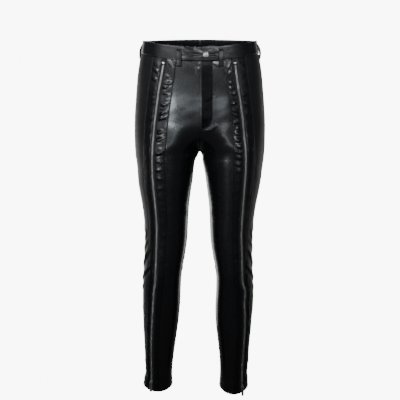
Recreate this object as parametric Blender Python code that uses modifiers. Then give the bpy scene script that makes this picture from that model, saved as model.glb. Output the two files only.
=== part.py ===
"""Black faux leather skinny trousers, worn shape, empty inside, with a long zip down each front.

The garment hangs from its waist. Axes: +Z up, the front faces -Y, +X is the wearer's left.
The origin is the middle of the waist opening, level with the waistband's top edge at the sides.
Lengths below are millimetres; the meshes are written in metres.

The cloth follows one hollow form: two legs, worked out from sections, that merge at the crotch
into the hips. Each panel is a grid laid on that form between two seams, and a second grid inside it.
"""

import math
from collections import namedtuple
from functools import lru_cache

import bmesh
import bpy
import numpy as np
from mathutils import Matrix, Vector

MM = 0.001
LEFT, RIGHT = 1, -1  # the wearer's sides, and the sign of X there
SIDE_NAME = {LEFT: "left", RIGHT: "right"}

# Cloth and seams
CLOTH_WALL = 1.3
BAND_WALL = 2.2
LOOP_WALL = 1.4
SEAM_GAP = 0.3

# Waistband
BAND_HEIGHT = 35.0
BAND_LIFT = 0.9  # the band's outer face stands this far proud of the panels
FRONT_DIP = 21.0  # the waist is cut lower at the centre front than at the sides
BACK_RISE = 7.0
DIP_FADES_AT = -240.0
OVERLAP_END_X = 6.0  # where the wearer's left band ends, over the right one
UNDERLAP_END_X = 43.0
UNDERLAP_RISE = 2.5
TUCK_FROM = 18.0  # along the band, from the centre front, where the right end starts to step inwards
TUCK_LENGTH = 20.0
BAND_COLUMNS = 22

# Fly
FLY_X = 5.0
FLY_WIDTH = 29.0
FLY_CURVE_Z = -200.0
FLY_BOTTOM_Z = -236.0
FLY_CURVE_SHARE = 0.985  # the curve is a quarter ellipse, cut off just before its point

# Belt loops
LOOP_WIDTH = 13.0
LOOP_TOP = 8.0  # from the waist edge down to the loop's upper end
LOOP_DROP = 53.0  # and down to its lower end
LOOP_ARCH = 3.2  # free gap for the belt at mid height
LOOP_SETTLE = 9.0  # below the band, the loop comes down onto the panel over this length

# Front zips
ZIP_TOP_Z = -43.0
TAPE_HALF = 7.0
TAPE_SINK = 0.5
CHAIN_HALF = 2.8
CHAIN_WALL = 1.6
CHAIN_TOP_Z = -52.0
STOP_SIZE = (8.0, 4.0, 2.2)
SLIDER_UP = {RIGHT: 29.0, LEFT: 25.0}  # the slider's middle above the hem
SLIDER_SIZE = (9.6, 12.0, 1.7)
BRIDGE_WIRE = 0.8
BRIDGE_REACH = 3.4
BRIDGE_HEIGHT = 3.5
PULL_AXIS_HEIGHT = 1.35
PULL_WIDTH = 8.0
PULL_LENGTH = 27.0
PULL_BAR = 1.4
PULL_SLOT_END = 15.0
PULL_SLOT_HALF = 2.4

# Shank button
BUTTON_X = 15.5
BUTTON_LEVEL = -20.0
BUTTON_RADIUS = 8.0

# Spacing of the panels' rows
ROW_STEP = 36.0
KNEE_STEP = 11.5
KNEE_FROM = -522.0
KNEE_TO = -684.0

# How the legs join the hips
THIGH_BLEND = 7.0
HIP_CORNERS = 2.15
HIP_FROM_Z = -302.0
HIP_FULL_Z = -215.0
SIDE_SEAM_TURN = 6.0  # degrees behind the outermost line

Hip = namedtuple("Hip", "z half_width front back")
HIPS = (
    Hip(8, 154, -98, 102),
    Hip(-3, 155, -99, 103),
    Hip(-31, 159.5, -102, 107),
    Hip(-53, 164, -105, 112),
    Hip(-90, 170, -108, 119.5),
    Hip(-136, 174.5, -110, 128),
    Hip(-174, 177.5, -109, 133.5),
    Hip(-210, 180, -107, 136.5),
    Hip(-246, 181, -104, 137),
    Hip(-280, 180.5, -101, 134),
    Hip(-307, 179.5, -98, 128),
)

Girth = namedtuple("Girth", "z inner outer")
THIGH = (
    Girth(-200, -90, 180),
    Girth(-230, -60, 180.5),
    Girth(-250, -38, 180.8),
    Girth(-270, -17, 180.6),
    Girth(-290, -1, 180.2),
    Girth(-307, 8.6, 179),
    Girth(-319, 11.5, 178),
)
LEG = {
    RIGHT: THIGH
    + (
        Girth(-330, 15.5, 176),
        Girth(-352, 18.5, 173.5),
        Girth(-386, 22, 171),
        Girth(-419, 27, 166),
        Girth(-453, 31, 160),
        Girth(-487, 33.5, 155.5),
        Girth(-521, 35, 153),
        Girth(-555, 37, 152.5),
        Girth(-589, 42, 153.5),
        Girth(-624, 48.5, 155.5),
        Girth(-658, 53, 158),
        Girth(-692, 55, 159.5),
        Girth(-727, 56.5, 160),
        Girth(-761, 59, 160),
        Girth(-796, 63, 159),
        Girth(-831, 68, 157.5),
        Girth(-866, 73, 156),
        Girth(-901, 77.5, 154.5),
        Girth(-930, 80, 154),
        Girth(-953, 80, 157.5),
        Girth(-985, 78, 162),
    ),
    LEFT: THIGH
    + (
        Girth(-330, 11.5, 176.5),
        Girth(-352, 14.5, 173.5),
        Girth(-386, 19, 169),
        Girth(-419, 23, 163),
        Girth(-453, 27, 156),
        Girth(-487, 29, 151),
        Girth(-521, 30, 147.5),
        Girth(-555, 32, 146),
        Girth(-589, 37, 145),
        Girth(-624, 43.5, 146),
        Girth(-658, 47.5, 148),
        Girth(-692, 47.5, 150),
        Girth(-727, 46, 150),
        Girth(-761, 45.5, 148),
        Girth(-796, 47, 145),
        Girth(-831, 51, 142),
        Girth(-866, 55, 139),
        Girth(-901, 58, 137),
        Girth(-930, 59, 135),
        Girth(-953, 58, 135.5),
        Girth(-990, 55, 138),
    ),
}

Depth = namedtuple("Depth", "z front back")
LEG_DEPTH = (
    Depth(-200, -106, 136),
    Depth(-250, -103, 135),
    Depth(-285, -100, 130),
    Depth(-310, -97, 122.5),
    Depth(-345, -94, 110.5),
    Depth(-386, -90, 97.5),
    Depth(-440, -84, 83),
    Depth(-500, -78, 70),
    Depth(-560, -73, 59),
    Depth(-610, -70, 51.5),
    Depth(-650, -67, 49),
    Depth(-690, -60, 53),
    Depth(-740, -52, 61),
    Depth(-790, -46, 63),
    Depth(-840, -42, 58),
    Depth(-890, -39, 50),
    Depth(-930, -37, 46),
    Depth(-990, -39, 49),
)

# Where the zip lies across the front of each leg, at each height
Zip = namedtuple("Zip", "z x")
ZIP_LINE = {
    RIGHT: (
        Zip(-35, 94),
        Zip(-57, 98.5),
        Zip(-75, 101),
        Zip(-97, 105),
        Zip(-118, 108.5),
        Zip(-151, 112.5),
        Zip(-202, 119),
        Zip(-225, 121.8),
        Zip(-250, 124),
        Zip(-285, 126.8),
        Zip(-322, 128.3),
        Zip(-360, 127.8),
        Zip(-404, 125.2),
        Zip(-475, 119),
        Zip(-509, 117.5),
        Zip(-536, 117.8),
        Zip(-567, 119),
        Zip(-618, 120.8),
        Zip(-654, 122.3),
        Zip(-670, 123.4),
        Zip(-686, 126.2),
        Zip(-715, 128.3),
        Zip(-771, 132.5),
        Zip(-810, 134.5),
        Zip(-848, 135.2),
        Zip(-990, 136),
    ),
    LEFT: (
        Zip(-35, 91),
        Zip(-57, 95),
        Zip(-75, 97.5),
        Zip(-97, 99.8),
        Zip(-118, 103),
        Zip(-151, 107.2),
        Zip(-202, 114.3),
        Zip(-250, 118.7),
        Zip(-285, 122),
        Zip(-322, 124),
        Zip(-360, 123.2),
        Zip(-404, 120.6),
        Zip(-475, 115.8),
        Zip(-509, 114.3),
        Zip(-536, 113.4),
        Zip(-567, 114.6),
        Zip(-618, 116),
        Zip(-654, 117.2),
        Zip(-670, 118.7),
        Zip(-686, 123.8),
        Zip(-700, 125),
        Zip(-727, 123.8),
        Zip(-771, 125.2),
        Zip(-810, 124.6),
        Zip(-848, 122.4),
        Zip(-890, 120),
        Zip(-930, 118.5),
        Zip(-990, 118),
    ),
}

# Width of the puckered strips on each side of the zip
Strip = namedtuple("Strip", "z inner outer")
STRIPS = {
    RIGHT: (
        Strip(-35, 27, 26),
        Strip(-97, 29.5, 26),
        Strip(-268, 30.5, 26),
        Strip(-380, 28, 25),
        Strip(-500, 23, 20),
        Strip(-620, 19, 15),
        Strip(-990, 14, 11),
    ),
    LEFT: (
        Strip(-35, 27, 26),
        Strip(-57, 26.5, 26),
        Strip(-127, 22.5, 26),
        Strip(-200, 21.5, 26),
        Strip(-250, 24.5, 26),
        Strip(-300, 26.5, 26),
        Strip(-380, 25.5, 25),
        Strip(-500, 21, 20),
        Strip(-620, 18, 15),
        Strip(-990, 14, 11),
    ),
}

# Puckers: soft ridges across each strip, where the zip's tape holds it in
Pucker = namedtuple("Pucker", "z height tilt")
PUCKERS = {
    RIGHT: (
        Pucker(-64, 1.6, 9),
        Pucker(-81, 1.8, -4),
        Pucker(-107, 2.2, 3),
        Pucker(-122, 2.6, -3),
        Pucker(-144, 2.2, 0),
        Pucker(-161, 2.0, -3),
        Pucker(-174, 2.6, 2),
        Pucker(-188, 2.2, 4),
        Pucker(-201, 2.5, 6),
        Pucker(-215, 2.4, 5),
        Pucker(-232, 1.2, 2),
        Pucker(-249, 2.6, 4),
        Pucker(-269, 2.2, 2),
        Pucker(-288, 1.0, 0),
        Pucker(-308, 1.8, 3),
        Pucker(-321, 1.4, 2),
        Pucker(-341, 0.8, 0),
    ),
    LEFT: (
        Pucker(-70, 1.8, -9),
        Pucker(-92, 2.2, -5),
        Pucker(-111, 1.4, 3),
        Pucker(-124, 1.8, 5),
        Pucker(-139, 2.6, -2),
        Pucker(-156, 1.2, 0),
        Pucker(-171, 2.4, 2),
        Pucker(-187, 2.2, -3),
        Pucker(-204, 2.6, -6),
        Pucker(-219, 2.4, -2),
        Pucker(-237, 1.6, 2),
        Pucker(-253, 2.4, 0),
        Pucker(-271, 2.2, 0),
        Pucker(-290, 2.4, 2),
        Pucker(-306, 2.5, -2),
        Pucker(-322, 1.8, -2),
        Pucker(-341, 1.0, 0),
        Pucker(-359, 1.2, 0),
    ),
}
PUCKER_HALF = 5.2
PUCKER_STEP = 8.0
INNER_SHARE = 1.25  # the inner strip puckers more than the outer one
OUTER_SHARE = 0.9

# Larger folds. turn is degrees round the leg: 0 outermost, -90 front, 90 back, 180 inner.
# slope is how far the fold drops, in degrees, as it runs from the front towards the back.
Fold = namedtuple("Fold", "turn z length half_width height slope")
KNEE_FOLDS = (
    Fold(-22, -538, 34, 7, 2.2, 62),
    Fold(-18, -566, 46, 6, 2.4, 48),
    Fold(-30, -588, 44, 6, 2.0, 42),
    Fold(-16, -610, 50, 6.5, 2.6, 46),
    Fold(-38, -632, 42, 6, 2.2, 50),
    Fold(-12, -652, 44, 6.5, 2.0, 40),
    Fold(72, -586, 70, 7, 2.0, 14),
    Fold(95, -606, 88, 7, 2.6, -6),
    Fold(88, -628, 96, 7, 3.0, 4),
    Fold(104, -651, 84, 7, 2.4, -8),
    Fold(70, -672, 60, 7, 1.8, 12),
    Fold(158, -612, 44, 7, 1.6, -24),
    Fold(164, -640, 40, 7, 1.5, -30),
)
ANKLE_FOLDS = (
    Fold(20, -906, 60, 8, 1.2, 10),
    Fold(96, -925, 70, 8, 1.8, -6),
    Fold(-6, -936, 56, 8, -1.4, 8),
)
SEAT_FOLDS = (
    Fold(98, -330, 92, 9, 2.2, -14),
    Fold(112, -356, 84, 9, 2.0, -18),
    Fold(128, -384, 64, 9, 1.5, -24),
)
CROTCH_FOLDS = (
    Fold(-128, -330, 60, 9, 1.6, -46),
    Fold(-112, -300, 66, 9, 1.2, -38),
)
FOLDS = KNEE_FOLDS + ANKLE_FOLDS + SEAT_FOLDS + CROTCH_FOLDS

HEM_SIDE_Z = {RIGHT: -970.0, LEFT: -974.0}
HEM_DIP = {RIGHT: 12.5, LEFT: 16.5}
HEM_DIP_FROM = 70.0


def read(table, column, z):
    """A table's column at height z: a smooth curve through its rows, held level past its ends."""
    at = np.array([row.z for row in table], float)[::-1]
    value = np.array([getattr(row, column) for row in table], float)[::-1]
    slope = np.gradient(value, at)
    z = np.clip(z, at[0], at[-1])
    k = np.clip(np.searchsorted(at, z) - 1, 0, len(at) - 2)
    step = at[k + 1] - at[k]
    t = (z - at[k]) / step
    near, far = value[k], value[k + 1]
    return (
        near * (1 + 2 * t) * (1 - t) ** 2
        + far * t * t * (3 - 2 * t)
        + step * slope[k] * t * (1 - t) ** 2
        + step * slope[k + 1] * t * t * (t - 1)
    )


def ease(t):
    """0 to 1, level at both ends."""
    t = np.clip(t, 0.0, 1.0)
    return t * t * (3 - 2 * t)


def leg_section(side, z):
    """Centre x, centre y, half width and half depth of one leg. x is positive towards its own side."""
    inner, outer = read(LEG[side], "inner", z), read(LEG[side], "outer", z)
    front, back = read(LEG_DEPTH, "front", z), read(LEG_DEPTH, "back", z)
    return (inner + outer) / 2, (front + back) / 2, (outer - inner) / 2, (back - front) / 2


def form(side, x, y, z):
    """1 on the form's surface and less inside: both thighs, which blend upwards into the hips."""
    middle, centre, half_width, half_depth = leg_section(side, z)
    own = np.hypot((x - middle) / half_width, (y - centre) / half_depth)
    other = np.hypot((x + middle) / half_width, (y - centre) / half_depth)
    own, other = np.maximum(own, 1e-4), np.maximum(other, 1e-4)
    thighs = (own**-THIGH_BLEND + other**-THIGH_BLEND) ** (-1 / THIGH_BLEND)
    width = read(HIPS, "half_width", z)
    front, back = read(HIPS, "front", z), read(HIPS, "back", z)
    hips = (
        np.abs(x / width) ** HIP_CORNERS
        + np.abs((y - (front + back) / 2) / ((back - front) / 2)) ** HIP_CORNERS
    ) ** (1 / HIP_CORNERS)
    share = ease((z - HIP_FROM_Z) / (HIP_FULL_Z - HIP_FROM_Z))
    return (1 - share) * thighs + share * hips


def outward(side, x, y, z):
    """The form's unit normals, from its slope."""
    step = 0.5
    slope = np.stack(
        [
            form(side, x + step, y, z) - form(side, x - step, y, z),
            form(side, x, y + step, z) - form(side, x, y - step, z),
            form(side, x, y, z + step) - form(side, x, y, z - step),
        ],
        axis=-1,
    )
    return slope / np.linalg.norm(slope, axis=-1, keepdims=True)


Ring = namedtuple("Ring", "x y turn run")


@lru_cache(maxsize=None)
def ring(side, z):
    """One side's section at height z, from the centre front or inseam, round the outside, to the back.

    run is the length along it; turn is the angle about the leg's middle, in degrees.
    """
    turn = np.linspace(-180.0, 180.0, 721)
    across, along = np.cos(np.radians(turn)), np.sin(np.radians(turn))
    middle, centre, _, _ = leg_section(side, z)
    plane = np.where(across < -0.05, middle / np.maximum(-across, 0.05), 420.0)
    low, high = np.zeros_like(turn), plane.copy()
    for _ in range(36):
        reach = (low + high) / 2
        inside = form(side, middle + reach * across, centre + reach * along, z) < 1
        low, high = np.where(inside, reach, low), np.where(inside, high, reach)
    own = low < plane - 0.01
    x, y = middle + low[own] * across[own], centre + low[own] * along[own]
    turn = turn[own]
    if not own[0]:
        front, back = (seam_depth(side, z, centre, way) for way in (-1, 1))
        x = np.concatenate([[0.0], x, [0.0]])
        y = np.concatenate([[front], y, [back]])
        turn = np.concatenate([[turn[0] - 0.25], turn, [turn[-1] + 0.25]])
    run = np.concatenate([[0.0], np.cumsum(np.hypot(np.diff(x), np.diff(y)))])
    return Ring(x, y, turn, run)


def seam_depth(side, z, centre, way):
    """Where the form crosses the middle plane, in front of centre (way -1) or behind it (way 1)."""
    low, high = 0.0, 300.0
    for _ in range(40):
        reach = (low + high) / 2
        low, high = (reach, high) if form(side, 0.0, centre + way * reach, z) < 1 else (low, reach)
    return centre + way * low


def crotch_height(side):
    """The height at which the two legs first touch."""
    low, high = -345.0, -260.0
    for _ in range(40):
        z = (low + high) / 2
        centre = leg_section(side, z)[1]
        low, high = (low, z) if form(side, 0.0, centre, z) < 1 else (z, high)
    return high


def run_at_x(side, z, x):
    """Length round the front of the ring at which it reaches x."""
    section = ring(side, z)
    front = section.turn <= 0
    return float(np.interp(x, section.x[front], section.run[front]))


def run_at_turn(side, z, turn):
    section = ring(side, z)
    return float(np.interp(turn, section.turn, section.run))


def zip_run(side, z):
    return run_at_x(side, z, float(read(ZIP_LINE[side], "x", z)))


def seam_runs(side, z):
    """The lengths round the ring at which each seam lies, by name."""
    line = zip_run(side, z)
    return {
        "centre": 0.0,
        "strip_inner": line - TAPE_HALF - float(read(STRIPS[side], "inner", z)),
        "tape_inner": line - TAPE_HALF,
        "tape_outer": line + TAPE_HALF,
        "strip_outer": line + TAPE_HALF + float(read(STRIPS[side], "outer", z)),
        "side": run_at_turn(side, z, SIDE_SEAM_TURN),
        "back": float(ring(side, z).run[-1]),
    }


def waist_shift(y, level):
    """How far the waist's cut moves a point down at the front and up at the back."""
    fade = 1 - ease((-BAND_HEIGHT - level) / (-BAND_HEIGHT - DIP_FADES_AT))
    front = np.clip(-y / 102.0, 0, 1) ** 2
    back = np.clip(y / 107.0, 0, 1) ** 2
    return fade * (BACK_RISE * back - FRONT_DIP * front)


def hem_shift(side, turn, level):
    """The hem is lower at the front than at the sides."""
    fade = ease((HEM_SIDE_Z[side] + HEM_DIP_FROM - level) / HEM_DIP_FROM)
    return -HEM_DIP[side] * fade * np.clip(np.sin(np.radians(-turn)), 0, 1) ** 1.5


def fold_height(turn, z, radius):
    """Sum of the folds at one place."""
    total = np.zeros(np.broadcast(turn, z).shape)
    for fold in FOLDS:
        round_leg = np.radians(turn - fold.turn) * radius
        down = fold.z - z
        angle = math.radians(fold.slope)
        along = round_leg * math.cos(angle) + down * math.sin(angle)
        across = down * math.cos(angle) - round_leg * math.sin(angle)
        window = np.clip(1 - (2 * along / fold.length) ** 2, 0, 1)
        total += fold.height * window * np.exp(-((across / fold.half_width) ** 2))
    return total


def pucker_height(side, share, z, strength):
    """Ridges across a strip; share runs 0 to 1 across it. They die out at its seams."""
    total = np.zeros(np.broadcast(share, z).shape)
    for pucker in PUCKERS[side]:
        across = z - pucker.z - pucker.tilt * (share - 0.5)
        total += pucker.height * np.exp(-((across / PUCKER_HALF) ** 2))
    return strength * total * np.sin(np.pi * np.clip(share, 0, 1)) ** 0.8


Row = namedtuple("Row", "points normals")


def place(side, level, run, lift=0.0, folded=True):
    """A row of points on the form, moved out by lift, with the waist's and hem's cut and the folds."""
    section = ring(side, level)
    x, y = np.interp(run, section.run, section.x), np.interp(run, section.run, section.y)
    turn = np.interp(run, section.run, section.turn)
    z = np.full_like(x, level)
    normal = outward(side, x, y, z)
    if folded:
        radius = max(55.0, float(leg_section(side, level)[2]))
        lift = lift + fold_height(turn, z, radius)
    shift = waist_shift(y, level) + hem_shift(side, turn, level)
    points = np.stack([x, y, z + shift], axis=-1) + normal * np.reshape(lift, (-1, 1))
    mirror = np.array([side, 1, 1])
    return Row(points * mirror, normal * mirror)


def join_rows(rows):
    """Short rows that make one longer row."""
    return Row(*(np.concatenate(part) for part in zip(*rows)))


def base_levels(side):
    """The heights of the rows that all panels of one side share, so that their seams match.

    They are closer together at the knee and where the legs meet.
    """
    crotch = crotch_height(side)
    near_crotch = [crotch + rise for rise in (46, 26, 12, 4.5, 0.8, -1.2, -7, -17, -34)]
    top = -BAND_HEIGHT - SEAM_GAP
    heights = [top]
    while heights[-1] > HEM_SIDE_Z[side]:
        at_knee = KNEE_FROM >= heights[-1] > KNEE_TO
        heights.append(heights[-1] - (KNEE_STEP if at_knee else ROW_STEP))
    heights[-1] = HEM_SIDE_Z[side]
    if heights[-2] - heights[-1] < ROW_STEP / 3:
        heights.pop(-2)
    spread = [z for z in heights if min(abs(z - near) for near in near_crotch) > 9]
    return sorted(set(spread + [z for z in near_crotch if z < top]), reverse=True)


def material(name, colour, roughness, metallic=0.0):
    made = bpy.data.materials.new(name)
    made.use_nodes = True
    shader = made.node_tree.nodes["Principled BSDF"]
    shader.inputs["Base Color"].default_value = (*colour, 1)
    shader.inputs["Roughness"].default_value = roughness
    shader.inputs["Metallic"].default_value = metallic
    return made


def add_object(name, data, finish, collection):
    made = bpy.data.objects.new(name, data)
    data.materials.append(finish)
    collection.objects.link(made)
    return made


def wall_mesh(name, rows, wall):
    """A closed wall, in metres: rows of points are its outer face, and its inner face is offset
    along the form's own normals, so that neighbours keep their seam gap through the thickness."""
    down, across = len(rows) - 1, len(rows[0].points) - 1
    outer = np.concatenate([row.points for row in rows])
    inner = outer - wall * np.concatenate([row.normals for row in rows])
    made = bmesh.new()
    for face_points in (outer, inner):
        grid = bmesh.ops.create_grid(made, x_segments=across, y_segments=down, size=1)["verts"]
        corners = sorted(grid, key=lambda v: (-round(v.co.y, 5), v.co.x))
        for vertex, point in zip(corners, face_points):
            vertex.co = Vector(point * MM)
    rims = [edge for edge in made.edges if edge.is_boundary]
    bmesh.ops.bridge_loops(made, edges=rims)
    bmesh.ops.recalc_face_normals(made, faces=made.faces)
    mesh = bpy.data.meshes.new(name)
    made.to_mesh(mesh)
    made.free()
    mesh.shade_smooth()
    mesh.set_sharp_from_angle(angle=math.radians(50))
    return mesh


def cloth(name, rows, wall, finish, collection):
    return add_object(name, wall_mesh(name, rows, wall), finish, collection)


def panel_rows(side, first, last, columns):
    """Rows of points between two seams, half a seam gap inside each."""
    rows = []
    for level in base_levels(side):
        seams = seam_runs(side, level)
        start, end = seams[first] + SEAM_GAP / 2, seams[last] - SEAM_GAP / 2
        rows.append(place(side, level, np.linspace(start, end, columns + 1)))
    return rows


def puckered_rows(side, rows, strength):
    """More rows between those given, as far down as the puckers go, raised by each pucker."""
    levels = base_levels(side)
    lowest = min(pucker.z for pucker in PUCKERS[side]) - 2 * PUCKER_HALF
    share = np.linspace(0, 1, len(rows[0].points))
    finished = []
    for upper, lower, above, below in zip(levels, levels[1:], rows, rows[1:]):
        parts = max(1, round((upper - lower) / PUCKER_STEP)) if upper > lowest else 1
        for part in range(parts):
            mix = part / parts
            points = above.points + (below.points - above.points) * mix
            normals = above.normals + (below.normals - above.normals) * mix
            normals /= np.linalg.norm(normals, axis=1, keepdims=True)
            level = upper + (lower - upper) * mix
            lift = pucker_height(side, share, level, strength).reshape(-1, 1)
            finished.append(Row(points + normals * lift, normals))
    return finished + [rows[-1]]


def leg_panels(side, finishes, collection):
    """The five cloth panels of one side, from the waist seam to the hem."""
    leather, knit = finishes["leather"], finishes["stretch"]
    plans = (
        ("front_centre", "centre", "strip_inner", 5, leather, 0.0),
        ("strip_inner", "strip_inner", "tape_inner", 3, leather, INNER_SHARE),
        ("strip_outer", "tape_outer", "strip_outer", 3, leather, OUTER_SHARE),
        ("front_side", "strip_outer", "side", 5, knit, 0.0),
        ("back", "side", "back", 8, knit, 0.0),
    )
    for part, first, last, columns, finish, pucker in plans:
        rows = panel_rows(side, first, last, columns)
        if pucker:
            rows = puckered_rows(side, rows, pucker)
        cloth(f"{part}_{SIDE_NAME[side]}", rows, CLOTH_WALL, finish, collection)


def front_zip(side, finishes, collection):
    """The zip's tape, its closed chain as one plain band, and the stop at its upper end."""
    name = SIDE_NAME[side]
    tape, chain = [], []
    for level in base_levels(side):
        seams = seam_runs(side, level)
        edges = seams["tape_inner"] + SEAM_GAP / 2, seams["tape_outer"] - SEAM_GAP / 2
        tape.append(place(side, level, np.linspace(*edges, 3), -TAPE_SINK))
    below_stop = [level for level in base_levels(side) if level < CHAIN_TOP_Z - 2]
    for level in [CHAIN_TOP_Z] + below_stop:
        middle = zip_run(side, level)
        lift = -TAPE_SINK + SEAM_GAP + CHAIN_WALL
        chain.append(place(side, level, middle + np.array([-CHAIN_HALF, CHAIN_HALF]), lift))
    cloth(f"zip_tape_{name}", tape, CLOTH_WALL, finishes["tape"], collection)
    cloth(f"zip_chain_{name}", chain, CHAIN_WALL, finishes["metal"], collection)
    width, height, depth = STOP_SIZE
    stop = block(f"zip_end_stop_{name}", (width, height, depth), 0.5)
    stop.transform(zip_frame(side, (ZIP_TOP_Z + CHAIN_TOP_Z) / 2, -TAPE_SINK + SEAM_GAP + depth / 2))
    add_object(f"zip_end_stop_{name}", stop, finishes["metal"], collection)


def zip_frame(side, level, lift):
    """Axes on the zip: X across it, Y up along it and Z out of the cloth, in metres."""
    here, above, below = (
        place(side, at, np.array([zip_run(side, at)]), folded=False)
        for at in (level, level + 8, level - 8)
    )
    up = above.points[0] - below.points[0]
    up /= np.linalg.norm(up)
    out = here.normals[0] - up * here.normals[0].dot(up)
    out /= np.linalg.norm(out)
    turned = Matrix(np.stack([np.cross(up, out), up, out], axis=1).tolist()).to_4x4()
    return Matrix.Translation(Vector((here.points[0] + out * lift) * MM)) @ turned


def block(name, size, bevel):
    """A box centred on the origin, in metres, with its edges bevelled."""
    made = bmesh.new()
    bmesh.ops.create_cube(made, size=1)
    bmesh.ops.scale(made, vec=Vector(size) * MM, verts=made.verts)
    bmesh.ops.bevel(
        made,
        geom=made.edges[:],
        offset=bevel * MM,
        offset_type="OFFSET",
        segments=1,
        profile=0.5,
        affect="EDGES",
        material=-1,
    )
    mesh = bpy.data.meshes.new(name)
    made.to_mesh(mesh)
    made.free()
    return mesh


def curve_mesh(name, curve):
    """A closed mesh made from a curve, its caps welded on."""
    holder = bpy.data.objects.new(name + "_curve", curve)
    bpy.context.scene.collection.objects.link(holder)
    graph = bpy.context.evaluated_depsgraph_get()
    mesh = bpy.data.meshes.new_from_object(holder.evaluated_get(graph))
    bpy.data.objects.remove(holder)
    made = bmesh.new()
    made.from_mesh(mesh)
    bmesh.ops.remove_doubles(made, verts=made.verts, dist=1e-6)
    bmesh.ops.recalc_face_normals(made, faces=made.faces)
    made.to_mesh(mesh)
    made.free()
    mesh.name = name
    return mesh


def bridge_mesh():
    """The staple on the slider under which the pull's top bar turns."""
    reach, height = BRIDGE_REACH, BRIDGE_HEIGHT
    route = (
        (-reach, -SLIDER_SIZE[2] / 2),
        (-reach, height - 1.0),
        (-reach + 0.9, height),
        (reach - 0.9, height),
        (reach, height - 1.0),
        (reach, -SLIDER_SIZE[2] / 2),
    )
    curve = bpy.data.curves.new("bridge", "CURVE")
    curve.dimensions = "3D"
    curve.bevel_depth = BRIDGE_WIRE * MM
    curve.bevel_resolution = 2
    curve.use_fill_caps = True
    spline = curve.splines.new("POLY")
    spline.points.add(len(route) - 1)
    for point, (up, out) in zip(spline.points, route):
        point.co = (0, up * MM, out * MM, 1)
    return curve_mesh("bridge", curve)


def slider(side, finishes, collection, cutters):
    """The zip's slider, at the hem: a plate over the chain with a bridge, joined into one body."""
    name = f"zip_slider_{SIDE_NAME[side]}"
    frame = slider_frame(side)
    plate = block(name, SLIDER_SIZE, 0.5)
    plate.transform(Matrix.Translation((0, 0, -SLIDER_SIZE[2] / 2 * MM)))
    plate.transform(frame)
    bridge = bridge_mesh()
    bridge.transform(frame)
    helper = add_object(name + "_bridge", bridge, finishes["metal"], cutters)
    helper.hide_render = True
    helper.display_type = "WIRE"
    made = add_object(name, plate, finishes["metal"], collection)
    union = made.modifiers.new("Bridge", "BOOLEAN")
    union.operation = "UNION"
    union.object = helper
    return made


def slider_frame(side):
    """Axes on the slider: the origin is on its front face, Z points out of the cloth."""
    lift = -TAPE_SINK + SEAM_GAP + CHAIN_WALL + SEAM_GAP + SLIDER_SIZE[2]
    return zip_frame(side, HEM_SIDE_Z[side] + SLIDER_UP[side] - HEM_DIP[side] / 2, lift)


def rounded_outline(half_width, top, bottom, corner, steps=3):
    """A rectangle with round corners, as points going round once."""
    points = []
    corners = (
        (half_width - corner, top - corner, 0),
        (-half_width + corner, top - corner, 90),
        (-half_width + corner, bottom + corner, 180),
        (half_width - corner, bottom + corner, 270),
    )
    for x, y, start in corners:
        for k in range(steps + 1):
            angle = math.radians(start + 90 * k / steps)
            points.append((x + corner * math.cos(angle), y + corner * math.sin(angle)))
    return points


def pull_tab(side, finishes, collection):
    """The slider's pull: a flat tab whose upper slot passes round the bridge. It hangs down."""
    name = f"zip_pull_{SIDE_NAME[side]}"
    half_bar = PULL_BAR / 2
    curve = bpy.data.curves.new(name, "CURVE")
    curve.dimensions = "2D"
    curve.fill_mode = "BOTH"
    curve.extrude = half_bar * MM
    outlines = (
        rounded_outline(PULL_WIDTH / 2, half_bar, -PULL_LENGTH, 1.3),
        rounded_outline(PULL_SLOT_HALF, -half_bar, -PULL_SLOT_END, 0.8)[::-1],
    )
    for outline in outlines:
        spline = curve.splines.new("POLY")
        spline.points.add(len(outline) - 1)
        spline.use_cyclic_u = True
        for point, (x, y) in zip(spline.points, outline):
            point.co = (x * MM, y * MM, 0, 1)
    mesh = curve_mesh(name, curve)
    made = add_object(name, mesh, finishes["metal"], collection)
    made.matrix_world = slider_frame(side) @ Matrix.Translation((0, 0, PULL_AXIS_HEIGHT * MM))
    return made


def band_rows(runs, lift):
    """Rows of the waistband, from its upper edge down.

    runs gives each column's side, its length round from the centre front, its rise and its lift.
    """
    rows = []
    for share in np.linspace(0, 1, 4):
        row = []
        for side, run, rise, extra in runs:
            level = rise * (1 - share) - BAND_HEIGHT * share
            row.append(place(side, level, np.array([run]), lift + extra, folded=False))
        rows.append(join_rows(row))
    return rows


def waistband(finishes, collection):
    """Two half bands, joined at the centre back. The left one laps over the right at the fly."""
    mid = -BAND_HEIGHT / 2
    end = float(ring(LEFT, mid).run[-1]) - SEAM_GAP / 2
    over_end = run_at_x(LEFT, mid, OVERLAP_END_X)
    over = [(LEFT, run, 0.0, 0.0) for run in np.linspace(over_end, end, BAND_COLUMNS)]
    leather = finishes["leather"]
    cloth("waistband_left", band_rows(over, BAND_LIFT), BAND_WALL, leather, collection)

    tuck = -(BAND_WALL + 1.5 * SEAM_GAP)
    on_right = np.linspace(end, TUCK_FROM + 8, BAND_COLUMNS)
    at_step = (TUCK_FROM, 11.0, 5.0, -0.8, -6.0, -15.0, -24.0, -33.0)
    under = []
    for ahead in (*on_right, *at_step, -run_at_x(LEFT, mid, UNDERLAP_END_X)):
        side = RIGHT if ahead > 0 else LEFT
        stepped = float(ease((TUCK_FROM - ahead) / TUCK_LENGTH))
        rise = UNDERLAP_RISE * float(ease((-ahead - 2.0) / TUCK_LENGTH))
        under.append((side, abs(ahead), rise, tuck * stepped))
    cloth("waistband_right", band_rows(under, BAND_LIFT), BAND_WALL, leather, collection)


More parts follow.
